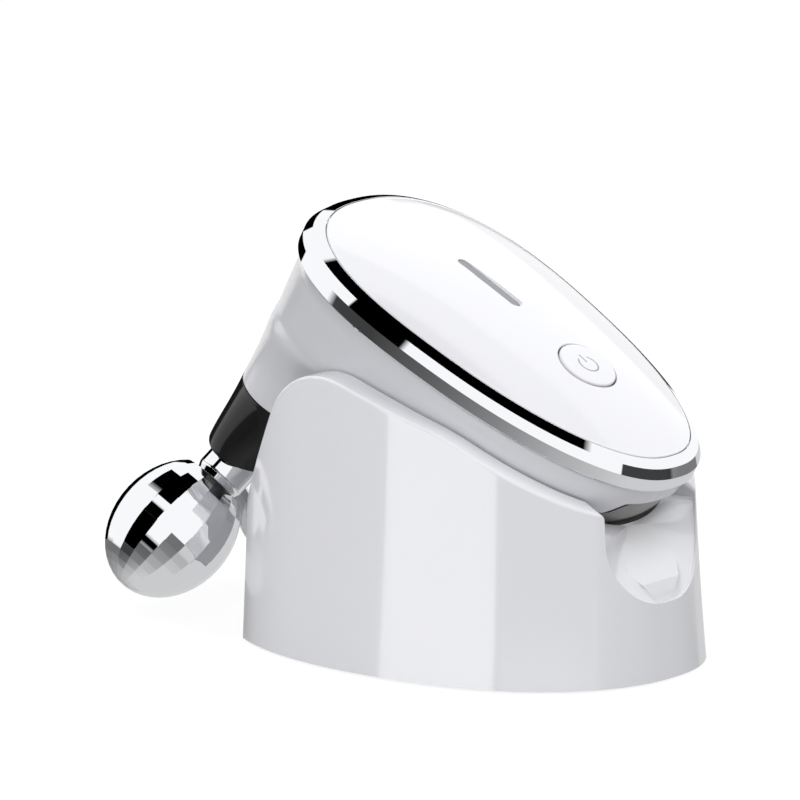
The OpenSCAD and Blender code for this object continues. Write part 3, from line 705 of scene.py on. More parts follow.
@dataclass(frozen=True)
class HeadForm:
    """Sizes that the handset's pieces and the dock share, in millimetres."""

    length: float = 96.6
    width: float = 60.3
    square: float = 2.39
    egg: float = 0.177
    ring_w: float = 3.3
    ring_h: float = 6.0
    inset: float = 0.8
    neck_x: float = 38.6
    neck_r: float = 12.2
    neck_drop: float = 45.6
    back_lean: float = 3.3
    contact_x: float = 16.0
    contact_y: float = 3.0
    depth_rows: tuple[float, ...] = (0, 0.11, 0.2, 0.29, 0.36, 0.41, 0.45, 0.485, 0.53, 0.6, 0.7, 0.83, 1)
    front_rows: tuple[float, ...] = (1, 0.985, 0.965, 0.94, 0.9, 0.82, 0.66, 0.46, 0.29, 0.16, 0.07, 0.02, 0)
    width_rows: tuple[float, ...] = (1, 0.955, 0.88, 0.8, 0.75, 0.69, 0.61, 0.53, 0.44, 0.32, 0.18, 0.06, 0)
    egg_rows: tuple[float, ...] = (1, 0.4, 0.4, 0.4, 0.3, 0.3, 0.3, 0.2, 0.2, 0.1, 0, 0, 0)
    points: int = 256

    @property
    def seam_a(self) -> float:
        """Half length of the line between cover and ring."""
        return self.length / 2 - self.ring_w

    @property
    def seam_b(self) -> float:
        """Half width of the line between cover and ring."""
        return self.width / 2 - self.ring_w

    @property
    def angles(self) -> Array:
        """Polar angles of the points in a ring."""
        return np.linspace(0, 2 * math.pi, self.points, endpoint=False)

    def seam(self, grow: Array, z: Array, share: Array = 1.0) -> Array:
        """Rings of the seam line grown by grow, scaled by share, at height z.

        Args:
            grow: Growth of each ring.
            z: Height of each ring.
            share: Scale of each ring about the middle.

        Returns:
            (rings, points, 3) in the object's frame.
        """
        x, y = superellipse(self.angles, self.square)
        grow, z, share = (np.atleast_1d(np.asarray(v, float))[:, None] for v in (grow, z, share))
        wide = (self.seam_b + grow) * y * (1 - self.egg * x)
        return HEAD.out((self.seam_a + grow) * x * share, wide * share, z + 0 * x)

    def body(self, grow: float, low: float | None = None, high: float | None = None,
             edge: float = 0.0) -> Array:
        """Rings of the body from its lower end up.

        Each ring is a superellipse whose front, width and egg shape follow smooth curves of
        the depth below the ring: it is the head's outline at the top and the neck's circle
        at the bottom.

        Args:
            grow: Growth on every side.
            low: Height of an extra ring below, with the neck's outline.
            high: Height of an extra ring above, with the head's outline.
            edge: Radius that rounds the lower end.

        Returns:
            (rings, points, 3) in the object's frame.
        """
        share = np.linspace(0, 1, 121)
        rows = [calm(smooth_through(np.array(self.depth_rows), np.array(r, float), share), 3)
                for r in (self.front_rows, self.width_rows, self.egg_rows)]
        front_share, wide_share, egg_share = rows
        nose = self.length / 2 - self.inset
        neck = self.neck_r - self.neck_x
        z = -self.ring_h - (self.neck_drop - self.ring_h) * share - grow
        turn = np.linspace(0, math.pi / 2, 6) if edge > 0 else np.zeros(1)
        keep = np.ones(len(share), bool)
        if edge > 0:
            keep = z > z[-1] + edge
        trim = np.concatenate([np.zeros(keep.sum()), edge * (1 - np.cos(turn))])
        if edge > 0:
            z_all = np.concatenate([z[keep], z[-1] + edge * (1 - np.sin(turn))])
        else:
            z_all = np.concatenate([z, z[-1:]])
        at = np.interp(-z_all, -z, share)
        front_share, wide_share, egg_share = (np.interp(at, share, r) for r in rows)
        front = neck + front_share * (nose - neck) + grow - trim
        back = -(nose + self.back_lean * at) - grow + trim
        wide = self.neck_r + wide_share * (self.width / 2 - self.inset - self.neck_r) + grow - trim
        square = 2 + (self.square - 2) * np.maximum(front_share, wide_share)
        x, y = zip(*(superellipse(self.angles, s) for s in square))
        x, y = np.array(x), np.array(y)
        col = np.newaxis
        across = wide[:, col] * y * (1 - self.egg * egg_share[:, col] * x)
        along = ((front - back) / 2)[:, col] * x + ((front + back) / 2)[:, col]
        rings = HEAD.out(along, across, z_all[:, col] + 0 * x)[::-1]
        extra_low, extra_high = [], []
        if low is not None:
            extra_low = [HEAD.out(along[-1], across[-1], np.full(self.points, low))[None]]
        if high is not None:
            extra_high = [HEAD.out(along[0], across[0], np.full(self.points, high))[None]]
        return np.concatenate([*extra_low, rings, *extra_high])


FORM = HeadForm()


@dataclass(frozen=True)
class Piece:
    """One visible piece: where it rides, what it stands for and how it looks."""

    name: str
    body: str
    finish: Finish
    slot: str
    stands_for: tuple[str, ...] = ()

    def dress(self, obj: bpy.types.Object, sharp: float = 30.0) -> bpy.types.Object:
        """Names, shades, paints and places a finished mesh.

        Args:
            obj: The mesh object.
            sharp: Edges that turn by more than this many degrees stay sharp.

        Returns:
            The same object.
        """
        obj.name = self.name
        obj.data.name = self.name
        shade(obj, sharp)
        obj.data.materials.clear()
        obj.data.materials.append(self.finish.material())
        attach(obj, self.body)
        if self.stands_for:
            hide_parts(*self.stands_for)
        LOG.info("%s: %d faces", self.name, len(obj.data.polygons))
        return obj


# ---------------------------------------------------------------- dock


@dataclass
class Dock:
    """Outer moulding with rim, slanted back and thumb scoop, and the cradle inside it."""

    length: float = 104.0
    width: float = 72.34
    flat_x: float = 39.0
    flat_lean: float = 0.07
    square: float = 2.19
    egg: float = 0.05
    lean: float = 0.086
    flare: float = 1.27
    wall: float = 2.4
    foot_z: float = 0.5
    rim_drop: float = 11.7
    bend_x: float = 13.0
    fall: float = math.radians(11.7)
    rim_r: float = 20.0
    bend_r: float = 40.0
    back_x: float = 28.0
    lip: float = 2.2
    back_wall: float = 3.6
    gap: float = 0.4
    cradle_wall: float = 2.2
    edge: float = 0.7
    seat: float = 0.02
    cup_z: float = 3.6
    mould_gap: float = 0.15
    mouth_w: float = 30.8
    mouth_z: float = 15.6
    mouth_r: float = 13.3
    mouth_edge: float = 0.7
    ramp_x: float = 40.6
    ramp_z: float = 29.8
    ramp_edge: tuple[tuple[float, float], ...] = ((0.4, 0.0), (2.8, 1.9), (4.8, 4.0))
    ramp_half: float = 8.3
    ramp_rise: float = 6.9
    sill_rise: float = 4.0
    sill_half: float = 6.2
    sill_depth: float = 1.9
    shoulder_z: float = 33.7
    corner_r: float = 0.8
    corner_reach: tuple[float, float] = (25.0, 90.0)
    scoop_wall: float = 2.0
    inlet_size: tuple[float, float] = (9.2, 3.6)
    inlet_at: tuple[float, float] = (-12.0, 9.5)
    pin_opening_size: tuple[float, float] = (11.4, 5.4)
    pin_opening_z: float = -31.6
    columns: int = 181
    far: float = 150.0

    def inset(self, z: Array) -> Array:
        """How far the wall has come in at height z above the foot: a lean less a flare."""
        return self.lean * z - self.flare * (z / 45) ** 2

    def wall_at(self, angle: Array, z: Array, grow: float) -> Array:
        """Points of the wall.

        Args:
            angle: Polar angles.
            z: Heights above the foot.
            grow: Growth outwards.

        Returns:
            (..., 3) points.
        """
        x, y = superellipse(angle, self.square)
        half_l = self.length / 2 - self.inset(z) + grow
        half_w = self.width / 2 - self.inset(z) + grow
        return np.stack(np.broadcast_arrays(half_l * x, half_w * y * (1 + self.egg * x), z + self.foot_z), -1)

    def wall_x(self, y: Array, z: Array) -> Array:
        """How far ahead the wall's face lies.

        Args:
            y: Distance to the side.
            z: Height above the foot.

        Returns:
            The x of the face.
        """
        half_l = self.length / 2 - self.inset(z)
        half_w = (self.width / 2 - self.inset(z)) * (1 + self.egg)
        return half_l * (1 - (np.abs(y) / half_w) ** self.square) ** (1 / self.square)

    def rim_profile(self, down: float, fore: float) -> Array:
        """Side outline under the rim in the handset's frame, from the back's foot forwards.

        Args:
            down: How far below the rim.
            fore: How far ahead of the slanted back.

        Returns:
            (n, 2) points.
        """
        z = -self.rim_drop - down
        x = -self.back_x + fore
        fall = [x, z - (self.bend_x - x) * math.tan(self.fall)]
        line = rounded([[x, -self.far], fall, [self.bend_x, z], [self.far, z]],
                       [0, self.rim_r - fore, self.bend_r, 0], steps=40)
        return line

    def block(self, name: str, grow: float, down: float, fore: float, z0: float,
              edge: float) -> bpy.types.Object:
        """Solid under the rim: the wall, a rounded edge and the rim's surface.

        At each polar angle the height where the wall meets the rim is found by halving. The
        edge there is a quadratic curve between a point down the wall and a point in on the
        rim, both at right angles to the edge's direction. From the inner point the surface
        runs straight across to the middle plane, because the rim is a side outline carried
        across.

        Args:
            name: Object's name.
            grow: Growth of the wall.
            down: How far below the rim.
            fore: How far ahead of the slanted back.
            z0: Lower end above the foot.
            edge: Width of the rounded edge on each face.

        Returns:
            The solid.
        """
        angle = np.linspace(0, math.pi, self.columns)
        line = self.rim_profile(down, fore)
        top_line = line[line[:, 0] >= line[0, 0] - 1e-9]
        back_x = line[0, 0]

        def inside(points: Array) -> Array:
            """Whether points lie under the rim and ahead of the slanted back."""
            x, z = HEAD.back(points[..., 0], points[..., 2])
            return (x > back_x) & (z < np.interp(x, top_line[1:, 0], top_line[1:, 1]))

        low, high = np.full(self.columns, 0.0), np.full(self.columns, 80.0)
        for _ in range(40):
            mid = (low + high) / 2
            under = inside(self.wall_at(angle, mid, grow))
            low, high = np.where(under, mid, low), np.where(under, high, mid)
        corner = self.wall_at(angle, low, grow)
        tangent = np.gradient(corner, axis=0)
        tangent[0] = tangent[-1] = (0, 1, 0)
        tangent /= np.linalg.norm(tangent, axis=1, keepdims=True)
        step = 0.02
        down_wall = self.wall_at(angle, low - step, grow) - corner
        down_wall -= (down_wall * tangent).sum(1, keepdims=True) * tangent
        down_wall /= np.linalg.norm(down_wall, axis=1, keepdims=True)
        x, z = HEAD.back(corner[:, 0], corner[:, 2])
        slope = np.gradient(line, axis=0)
        seg = np.hypot(*slope.T)
        away = np.hypot(line[None, :, 0] - x[:, None], line[None, :, 1] - z[:, None])
        nearest = np.argmin(away, axis=1)
        along = slope[nearest] / seg[nearest, None]
        along3 = HEAD.direction(along[:, 0], along[:, 1])
        normal = np.cross(along3, [0, 1.0, 0])
        inward = np.cross(normal, tangent)
        inward /= np.linalg.norm(inward, axis=1, keepdims=True)
        centre = np.array([0.0, 0.0, 30.0])
        inward *= np.where(((centre - corner) * inward).sum(1, keepdims=True) < 0, -1, 1)
        t = np.linspace(0, 1, 7)[:, None, None]
        on_wall, on_rim = corner + down_wall * edge, corner + inward * edge
        arc = (1 - t) ** 2 * on_wall + 2 * t * (1 - t) * corner + t**2 * on_rim
        arc[..., 1] = np.maximum(arc[..., 1], 0)
        start = arc[0]
        start_z = start[:, 2] - self.foot_z
        start_angle = np.arctan2(start[:, 1] / (self.width / 2 - self.inset(start_z) + grow),
                                 start[:, 0] / (self.length / 2 - self.inset(start_z) + grow))
        sx, sy = superellipse(np.clip(start_angle, 0, math.pi), self.square)
        sy = sy / (1 + self.egg * sx)
        start_angle = np.arctan2(sy, sx)
        start_angle[0], start_angle[-1] = 0, math.pi
        share = np.concatenate([np.linspace(0, 0.985, 28), [0.997]])[:, None]
        rows_z = z0 + (start_z - z0) * share
        wall = self.wall_at(angle + (start_angle - angle) * share, rows_z, grow)
        across = np.linspace(1, 0, 13)[1:, None, None] * np.array([0, 1, 0]) + np.array([1, 0, 1])
        lip = arc[-1] * across
        floor = wall[0] * (np.linspace(0, 1, 6)[:-1, None, None] * np.array([0, 1, 0]) + np.array([1, 0, 1]))
        half = np.concatenate([floor, wall, arc, lip])
        mirror = half[-2:0:-1] * np.array([1, -1, 1])
        ring = np.concatenate([half, mirror]).transpose(1, 0, 2)
        block = mesh_from(name, ring.reshape(-1, 3), sheet_faces(ring.shape[0], ring.shape[1], True))
        return combine(block, Cut.KEEP, self.behind_flat(grow))

    def behind_flat(self, grow: float) -> bpy.types.Object:
        """Everything ahead of the dock's flat back, which leans back a little.

        Args:
            grow: Growth of the flat back.

        Returns:
            The solid.
        """
        side = np.array([[-self.flat_x - grow + 10 * self.flat_lean, -10], [self.far, -10], [self.far, 90],
                         [-self.flat_x - grow - 90 * self.flat_lean, 90]])
        return prism("flat", side, -90, 90, lambda a, b, c: np.stack([a, c, b + self.foot_z], -1))

    def room(self, name: str, grow: float) -> bpy.types.Object:
        """Space that the docked handset and its way out need.

        Args:
            name: Object's name.
            grow: Growth on every side.

        Returns:
            The solid.
        """
        return loft(name, FORM.body(grow, low=-2 * FORM.neck_drop, high=0.5))

    def scoop_lines(self) -> tuple[Array, Array, Array]:
        """Edge of the ramp and the mouth's outline, down one side.

        Returns:
            Points of the ramp's edge, of the mouth's inner line and of its outer end.
        """
        arc = np.linspace(0, math.pi / 2, 43)
        half = self.mouth_w / 2
        mouth_y = np.concatenate([np.full(8, half), half - self.mouth_r * (1 - np.cos(arc[1:]))])
        mouth_z = np.concatenate([[70], np.linspace(self.shoulder_z, self.mouth_z + self.mouth_r, 7),
                                  self.mouth_z + self.mouth_r * (1 - np.sin(arc[1:]))])
        sill_z = self.mouth_z + self.sill_rise
        front = float(self.wall_x(np.array(0.0), np.array(sill_z)))
        sill = np.array([front - self.sill_depth, self.sill_half, sill_z])
        slope = (sill[0] - self.ramp_x) / (self.ramp_z - sill_z)

        def on_ramp(y: float, z: float) -> Array:
            """Point of the ramp's plane."""
            return np.array([self.ramp_x + slope * (self.ramp_z - z), y, z])

        top, bend, mid = (on_ramp(y, self.ramp_z - down) for y, down in self.ramp_edge)
        low = on_ramp(self.ramp_half, self.mouth_z + self.ramp_rise)
        wall_foot = [[self.ramp_x, half, 70], [self.ramp_x, half, self.shoulder_z]]
        edge = np.array([*wall_foot, top, bend, mid, (mid + low) / 2, low, low * 0.67 + sill * 0.33,
                         low * 0.33 + sill * 0.67, sill])
        knots = np.concatenate([[0, 1], np.linspace(7, 49, 8)])
        at = np.arange(50)
        ramp = np.stack([np.interp(at, knots, edge[:, k]) for k in range(3)], -1)
        ramp = ramp + np.array([0, 0, self.foot_z])
        mouth_x = self.wall_x(mouth_y, mouth_z) - self.mouth_edge
        inner = np.stack([mouth_x, mouth_y, mouth_z + self.foot_z], -1)
        outer = np.stack([np.full(50, front + 8), mouth_y, mouth_z + self.foot_z], -1)
        return ramp, inner, outer

    def scoop_hollow(self) -> bpy.types.Object:
        """Hollow for the thumb: a flat ramp, ruled sides out to the mouth, and the mouth."""
        lines = self.scoop_lines()
        blend = np.linspace(0, 1, 9)[:, None, None]
        ruled = lines[0] + (lines[1] - lines[0]) * blend
        half = np.concatenate([ruled, lines[2][None]])
        near = half * np.array([1, -1, 1])
        rings = np.concatenate([near, half[:, ::-1]], axis=1)
        rows, count = rings.shape[:2]
        ladder = np.arange(count // 2 - 1)
        caps = np.stack([ladder, ladder + 1, count - 2 - ladder, count - 1 - ladder], 1)
        quads = np.concatenate([sheet_faces(rows, count, True), caps, caps + (rows - 1) * count])
        return mesh_from("scoop_hollow", rings.reshape(-1, 3), quads)

    def scoop_block(self, wall: float) -> bpy.types.Object:
        """Hull of the scoop and its wall, for what has to keep clear of them.

        Args:
            wall: Growth inwards, to the sides and down.

        Returns:
            The solid.
        """
        lines = np.concatenate(self.scoop_lines())
        both = np.concatenate([lines, lines * np.array([1, -1, 1])])
        shifts = np.array([[-wall, 0, 0], [0, -wall, 0], [0, wall, 0], [0, 0, -wall]])
        cloud = (both[:, None] + shifts).reshape(-1, 3) * MM
        mesh = bpy.data.meshes.new("scoop_block")
        work = bmesh.new()
        for point in cloud:
            work.verts.new(point)
        made = bmesh.ops.convex_hull(work, input=work.verts)
        bmesh.ops.delete(work, geom=[v for v in made["geom_interior"] if isinstance(v, bmesh.types.BMVert)],
                         context="VERTS")
        bmesh.ops.recalc_face_normals(work, faces=work.faces)
        work.to_mesh(mesh)
        work.free()
        obj = bpy.data.objects.new("scoop_block", mesh)
        bpy.context.scene.collection.objects.link(obj)
        return obj

    def build(self) -> None:
        """Builds the outer moulding and the cradle."""
        shell = self.block("dock", 0.0, 0.0, 0.0, 0.0, self.edge)
        inner = self.block("inner", -self.wall, self.lip, self.back_wall, -1.0, self.seat)
        combine(inner, Cut.AWAY, self.scoop_block(self.scoop_wall))
        room = self.room("room", self.gap)
        hollow = self.scoop_hollow()
        inlet = self.inlet_cut()
        combine(shell, Cut.AWAY, inner)
        combine(shell, Cut.AWAY, room, keep=True)
        combine(shell, Cut.AWAY, hollow, inlet, *self.mouth_corners())
        Piece("dock_body", "dock", Looks.DOCK, "dock_white", ("dock_shell",)).dress(shell, 12)
        cup = self.room("cup", self.gap + self.cradle_wall)
        bound = self.block("bound", -self.wall - self.mould_gap, self.lip + self.seat,
                           self.back_wall + self.seat, self.cup_z, self.seat)
        combine(cup, Cut.KEEP, bound)
        combine(cup, Cut.AWAY, room, self.scoop_block(self.scoop_wall + self.mould_gap), self.pin_opening())
        Piece("cradle_cup", "dock", Looks.CRADLE, "cradle_white", ("cradle",)).dress(cup)

    def mouth_corners(self) -> list[bpy.types.Object]:
        """Cutters that round the rim where it meets the mouth, one on each side."""
        r = self.corner_r
        turn = np.linspace(0, math.pi / 2, 9)
        arc = np.stack([r - r * np.cos(turn), -r + r * np.sin(turn)], 1)
        line = np.concatenate([arc, [[r, r], [-r, r], [-r, -r]]])
        out = []
        for side in (-1, 1):
            def place(a: Array, b: Array, c: Array) -> Array:
                """Outline across the rim, carried along the handset."""
                return HEAD.out(c, side * (a + self.mouth_w / 2), b - self.rim_drop)

            out.append(prism("mouth_corner", line, *self.corner_reach, place))
        return out

    def inlet_cut(self) -> bpy.types.Object:
        """Opening for the inlet's shell, an oval carried out through the far wall."""
        outline = stadium(*(size + 2 * self.mould_gap for size in self.inlet_size))
        x, z = self.inlet_at
        return prism("inlet_cut", outline, 20, 60, lambda a, b, c: np.stack([a + x, c, b + z], -1))

    def pin_opening(self) -> bpy.types.Object:
        """Opening in the cradle for the pin block, square to the ring."""
        outline = stadium(*self.pin_opening_size)[:, ::-1]
        return prism("pin_opening", outline, self.pin_opening_z, 0,
                     lambda a, b, c: HEAD.out(a + FORM.contact_x, b, c))


def stadium(length: float, width: float, steps: int = 24) -> Array:
    """Outline of a rectangle with half-round ends, about its middle.

    Args:
        length: Overall length.
        width: Width.
        steps: Points in each end.

    Returns:
        (2 * steps, 2) points.
    """
    angle = np.linspace(-math.pi / 2, math.pi / 2, steps)
    radius, mid = width / 2, (length - width) / 2
    right = np.stack([mid + radius * np.cos(angle), radius * np.sin(angle)], 1)
    return np.concatenate([right, -right])


# ---------------------------------------------------------------- handset


@dataclass
class Handset:
    """Head, body, neck collar and yoke of the handset."""

    dome_h: float = 4.6
    cover_t: float = 1.8
    seam: float = 0.15
    button_d: float = 12.6
    button_x: float = 18.8
    button_gap: float = 0.3
    button_edge: float = 0.35
    button_crown: float = 0.35
    button_crown_r: float = 90.0
    button_side_z: float = -1.5
    flange_w: float = 1.0
    flange_z: tuple[float, float] = (-4.3, -3.2)
    plunger_r: float = 2.0
    plunger_z: float = -5.6
    well_wall: float = 1.5
    well_z: tuple[float, float] = (-3.0, -0.9)
    well_lip: float = 0.55
    slot_x: float = 9.8
    slot_l: float = 17.0
    slot_w: float = 2.4
    slot_edge: float = 0.3
    lens_gap: float = 0.12
    lens_t: float = 0.6
    lens_sink: float = 0.2
    ring_foot: float = 1.8
    body_wall: float = 2.0
    skirt_nose: float = 4.2
    skirt_side: float = 8.4
    belly_seam: float = 0.2
    belly_sink: float = 0.3
    collar_h: float = 14.2
    collar_edge: float = 0.3
    pocket_wall: float = 2.0
    foot_l: float = 18.8
    foot_w: float = 30.2
    yoke_back: float = 2.4
    stem_d: float = 10.8
    stem_angle: float = math.radians(37.8)
    apex_deep: float = 6.0
    reach: float = 32.3
    ball_back: float = 12.7
    spacer_t: float = 1.7
    plug_h: float = 3.4
    contact_r: float = 1.9
    far: float = 150.0

    def dome(self, share: Array) -> Array:
        """Height of the cover over the seam.

        Args:
            share: Share of the way out, 0 in the middle and 1 at the seam.

        Returns:
            The height.
        """
        return self.dome_h * (1 - np.asarray(share, float) ** 2.2)

    @property
    def button_top(self) -> float:
        """Height of the cover's surface at the button."""
        return float(self.dome(self.button_x / FORM.seam_a))

    @property
    def button_lean(self) -> float:
        """Slope of the cover at the button, in radians."""
        share = self.button_x / FORM.seam_a
        return math.atan(2.2 * self.dome_h * share**1.2 / FORM.seam_a)

    def at_button(self, obj: bpy.types.Object) -> bpy.types.Object:
        """Moves a mesh from the z axis to the button's place, square to the cover.

        Args:
            obj: Mesh object.

        Returns:
            The same object.
        """
        cos, sin = math.cos(self.button_lean), math.sin(self.button_lean)
        return moved(obj, lambda p: HEAD.out(self.button_x + p[:, 0] * cos + p[:, 2] * sin, p[:, 1],
                                             self.button_top - p[:, 0] * sin + p[:, 2] * cos))

    def dome_solid(self, name: str, drop: float, grow: float, foot: float, edge: float) -> bpy.types.Object:
        """Domed solid over the seam line, with a rounded edge.

        The height over a point at share r of the way out is dome_h (1 - r^2.2), less drop.

        Args:
            name: Object's name.
            drop: How far the dome is lowered.
            grow: Growth of the outline.
            foot: Height of the flat underside.
            edge: Radius of the outer edge.

        Returns:
            The solid.
        """
        turn = np.linspace(0, math.pi / 2, 7)
        inner = 1 - edge / FORM.seam_b
        share = np.concatenate([np.linspace(0, 0.9, 40), np.linspace(0.915, inner, 8)])
        top_z = self.dome(share) - drop
        rise = (self.dome(inner) - self.dome(1.0)) * (1 - turn / turn[-1])
        edge_z = self.dome(1.0) - drop - edge * (1 - np.cos(turn)) + rise
        edge_grow = grow - edge * (1 - np.sin(turn))
        rings = np.concatenate([
            FORM.seam(np.full(len(share), grow), top_z, share),
            FORM.seam(edge_grow, edge_z),
            FORM.seam([grow, grow], [foot + 0.05, foot]),
            FORM.seam([grow] * 6, [foot] * 6, [0.8, 0.6, 0.4, 0.2, 0.1, 0.0]),
        ])
        return mesh_from(name, rings.reshape(-1, 3), sheet_faces(len(rings), FORM.points, True))

    def build_cover(self) -> None:
        """Domed white cover with the button's well and the indicator slot."""
        cover = self.dome_solid("cover", 0.0, -2 * self.seam, -self.cover_t - 0.5, 0.22)
        under = self.dome_solid("under", self.cover_t, -2 * self.seam - self.cover_t, -self.cover_t - 3, 0.1)
        combine(cover, Cut.AWAY, under)
        well_r = self.button_d / 2 + self.button_gap
        low, high = self.well_z
        wall = well_r + self.well_wall
        well = self.at_button(turned("well", np.array([[0, low], [wall, low], [wall, high], [0, high]])))
        seat_z = float(self.dome(self.slot_x / FORM.seam_a)) - self.cover_t
        margin = 2 * self.well_wall
        bed = prism("bed", stadium(self.slot_l + margin, self.slot_w + margin), seat_z - 1.6, seat_z + 0.4,
                    lambda a, b, c: HEAD.out(a - self.slot_x, b, c))
        combine(cover, Cut.JOIN, well, bed)
        turn = np.linspace(0, math.pi / 2, 8)
        lip = self.well_lip
        flare = np.stack([well_r + lip * (1 - np.cos(turn)), -lip * 0.8 + lip * 0.8 * np.sin(turn)], 1)
        bore = np.concatenate([[[0, -10], [well_r, -10]], flare, [[well_r + lip + 0.3, 1.0], [0, 1.0]]])
        slot = self.slot_cut()
        combine(cover, Cut.AWAY, self.at_button(turned("bore", bore, 128)), slot)
        Piece("cover", "handset", Looks.COVER, "cover_white", ("top_cover",)).dress(cover)

    def slot_cut(self) -> bpy.types.Object:
        """Indicator slot with its upper edge rounded over, as a stack of growing outlines."""
        turn = np.linspace(0, math.pi / 2, 6)
        edge = self.slot_edge
        grow = np.concatenate([[0], edge * (1 - np.cos(turn)), [edge + 0.3]])
        surface = float(self.dome(self.slot_x / FORM.seam_a))
        height = np.concatenate([[-5], surface - edge + edge * np.sin(turn) - 0.12, [surface + 1.2]])
        rings = []
        for add, z in zip(grow, height):
            line = stadium(self.slot_l + 2 * add, self.slot_w + 2 * add, 24)
            rings.append(HEAD.out(line[:, 0] - self.slot_x, line[:, 1], np.full(len(line), z)))
        return loft("slot", np.array(rings))

    def build_lens(self) -> None:
        """Domed lens on the indicator's window, a little below the cover's surface."""
        line = stadium(self.slot_l - self.lens_gap, self.slot_w - self.lens_gap, 24)
        floor = float(self.dome((self.slot_x + self.slot_l / 2) / FORM.seam_a)) - self.lens_t
        rings = [HEAD.out(line[:, 0] - self.slot_x, line[:, 1], np.full(len(line), floor))]
        for share in (1.0, 0.985, 0.95, 0.8, 0.5, 0.0):
            x, y = line[:, 0] - self.slot_x, line[:, 1] * share
            top = self.dome(np.hypot(x / FORM.seam_a, y / FORM.seam_b))
            rings.append(HEAD.out(x, y, top - self.lens_sink - 0.1 * share**8))
        Piece("window_lens", "handset", Looks.WINDOW, "light_grey").dress(loft("lens", np.array(rings)))

    def build_button(self) -> None:
        """Power button: a shallow dome with a rounded edge, a flange and a stem."""
        radius, edge = self.button_d / 2, self.button_edge
        share = np.linspace(0, radius - edge, 16)
        crown = self.button_crown - share**2 / (2 * self.button_crown_r)
        turn = np.linspace(0, math.pi / 2, 8)
        side = np.stack([radius - edge + edge * np.sin(turn), crown[-1] - edge + edge * np.cos(turn)], 1)
        flange, (low, high) = radius + self.flange_w, self.flange_z
        below = [[radius, self.button_side_z], [radius, high], [flange, high], [flange, low],
                 [self.plunger_r, low], [self.plunger_r, self.plunger_z], [0, self.plunger_z]]
        profile = np.concatenate([np.stack([share, crown], 1)[:-1], side, below])
        button = self.at_button(turned("button", profile, 128))
        cos, sin = math.cos(HEAD.tilt + self.button_lean), math.sin(HEAD.tilt + self.button_lean)
        middle = HEAD.out(np.array(self.button_x), np.array(0.0), np.array(self.button_top))
        look = PowerMark("button_white", Looks.COVER.colour, rough=0.12, coat=0.5, drift=0.004,
                         centre=tuple(float(v) for v in middle), along=(cos, 0.0, -sin))
        Piece("button", "button", look, "cover_white", ("power_button",)).dress(button)

    def build_ring(self) -> None:
        """Bright ring: two flat bevels over an upright band, carried round the head."""
        w, h = FORM.ring_w, FORM.ring_h
        shelf = -self.cover_t - 0.6
        corners = [[w - 0.2, -h], [w, -h * 0.95], [w, -h * 0.5], [w * 0.62, -h * 0.2],
                   [-self.seam + 0.02, -0.02], [-self.seam, shelf],
                   [-self.ring_foot, shelf], [-self.ring_foot, -h]]
        line = rounded(corners, [0.12, 0.12, 0, 0, 0.08, 0.05, 0.05, 0.1], steps=4, closed=True)
        rings = FORM.seam(line[:, 0], line[:, 1])
        closed = np.concatenate([rings, rings[:1]])
        ring = mesh_from("ring", closed.reshape(-1, 3), sheet_faces(len(closed), FORM.points, True))
        Piece("ring", "handset", Looks.CHROME, "ring_chrome", ("trim_ring",)).dress(ring, 15)

    def parting(self, grow: float) -> Array:
        """S-shaped line between skirt and belly in the side view, closed far below.

        Args:
            grow: Shift of the line upwards and backwards.

        Returns:
            (n, 2) points.
        """
        step = FORM.length / 2 - FORM.inset - 4
        top = -FORM.ring_h - self.skirt_nose + grow
        low = -FORM.ring_h - self.skirt_side + grow
        x1, x0, back = step + 1.5 - grow, step - 1.5 - grow, -8 - grow
        line = [[self.far, top], [x1, top], [x0, low], [back + 12, low], [back, -FORM.neck_drop / 2],
                [back, -self.far], [self.far, -self.far]]
        return rounded(line, [0, 1.6, 1.6, 10, 3, 0, 0], steps=12, closed=True)

    def belly_cut(self, name: str, grow: float) -> bpy.types.Object:
        """Everything below the parting line.

        Args:
            name: Object's name.
            grow: Shift of the line upwards and backwards.

        Returns:
            The solid.
        """
        return prism(name, self.parting(grow), -self.far / 2, self.far / 2, lambda a, b, c: HEAD.out(a, c, b))

    def build_body(self) -> None:
        """White body shell and the grey-brown belly cover below its skirt."""
        body = loft("body", FORM.body(0.0, edge=0.25))
        hollow = loft("hollow", FORM.body(-self.body_wall, high=5.0))
        combine(body, Cut.AWAY, hollow, self.belly_cut("belly_cut", 0.0))
        Piece("body", "handset", Looks.BODY, "body_white", ("body_shell",)).dress(body)
        belly = loft("belly", FORM.body(-self.belly_sink))
        hollow = loft("hollow", FORM.body(-self.body_wall - self.belly_sink, high=5.0))
        combine(belly, Cut.AWAY, hollow)
        combine(belly, Cut.KEEP, self.belly_cut("belly_keep", -self.belly_seam))
        radius = self.contact_r + 0.02
        for side in (-1, 1):
            bore = turned("contact_bore", np.array([[0, -60], [radius, -60], [radius, 0], [0, 0]]), 48)
            shift = np.array([FORM.contact_x, side * FORM.contact_y, 0])
            moved(bore, lambda p: HEAD.out(*(p + shift).T))
            combine(belly, Cut.AWAY, bore)
        Piece("belly", "handset", Looks.BELLY, "belly_grey", ("belly_cover",)).dress(belly)

    def collar_rings(self, share: Array, grow: Array, z: Array) -> Array:
        """Rings of the collar, from the neck's circle to the foot's oval.

        Args:
            share: Share of the way down, eased in and out.
            grow: Growth of each ring.
            z: Height of each ring.

        Returns:
            (rings, points, 3) in the object's frame.
        """
        ease = (share * share * (3 - 2 * share))[:, None]
        angle = FORM.angles
        long = FORM.neck_r + (self.foot_l / 2 - FORM.neck_r) * ease + grow[:, None]
        wide = FORM.neck_r + (self.foot_w / 2 - FORM.neck_r) * ease + grow[:, None]
        return HEAD.out(-FORM.neck_x - self.yoke_back * ease + long * np.cos(angle), wide * np.sin(angle),
                        z[:, None] + 0 * angle)

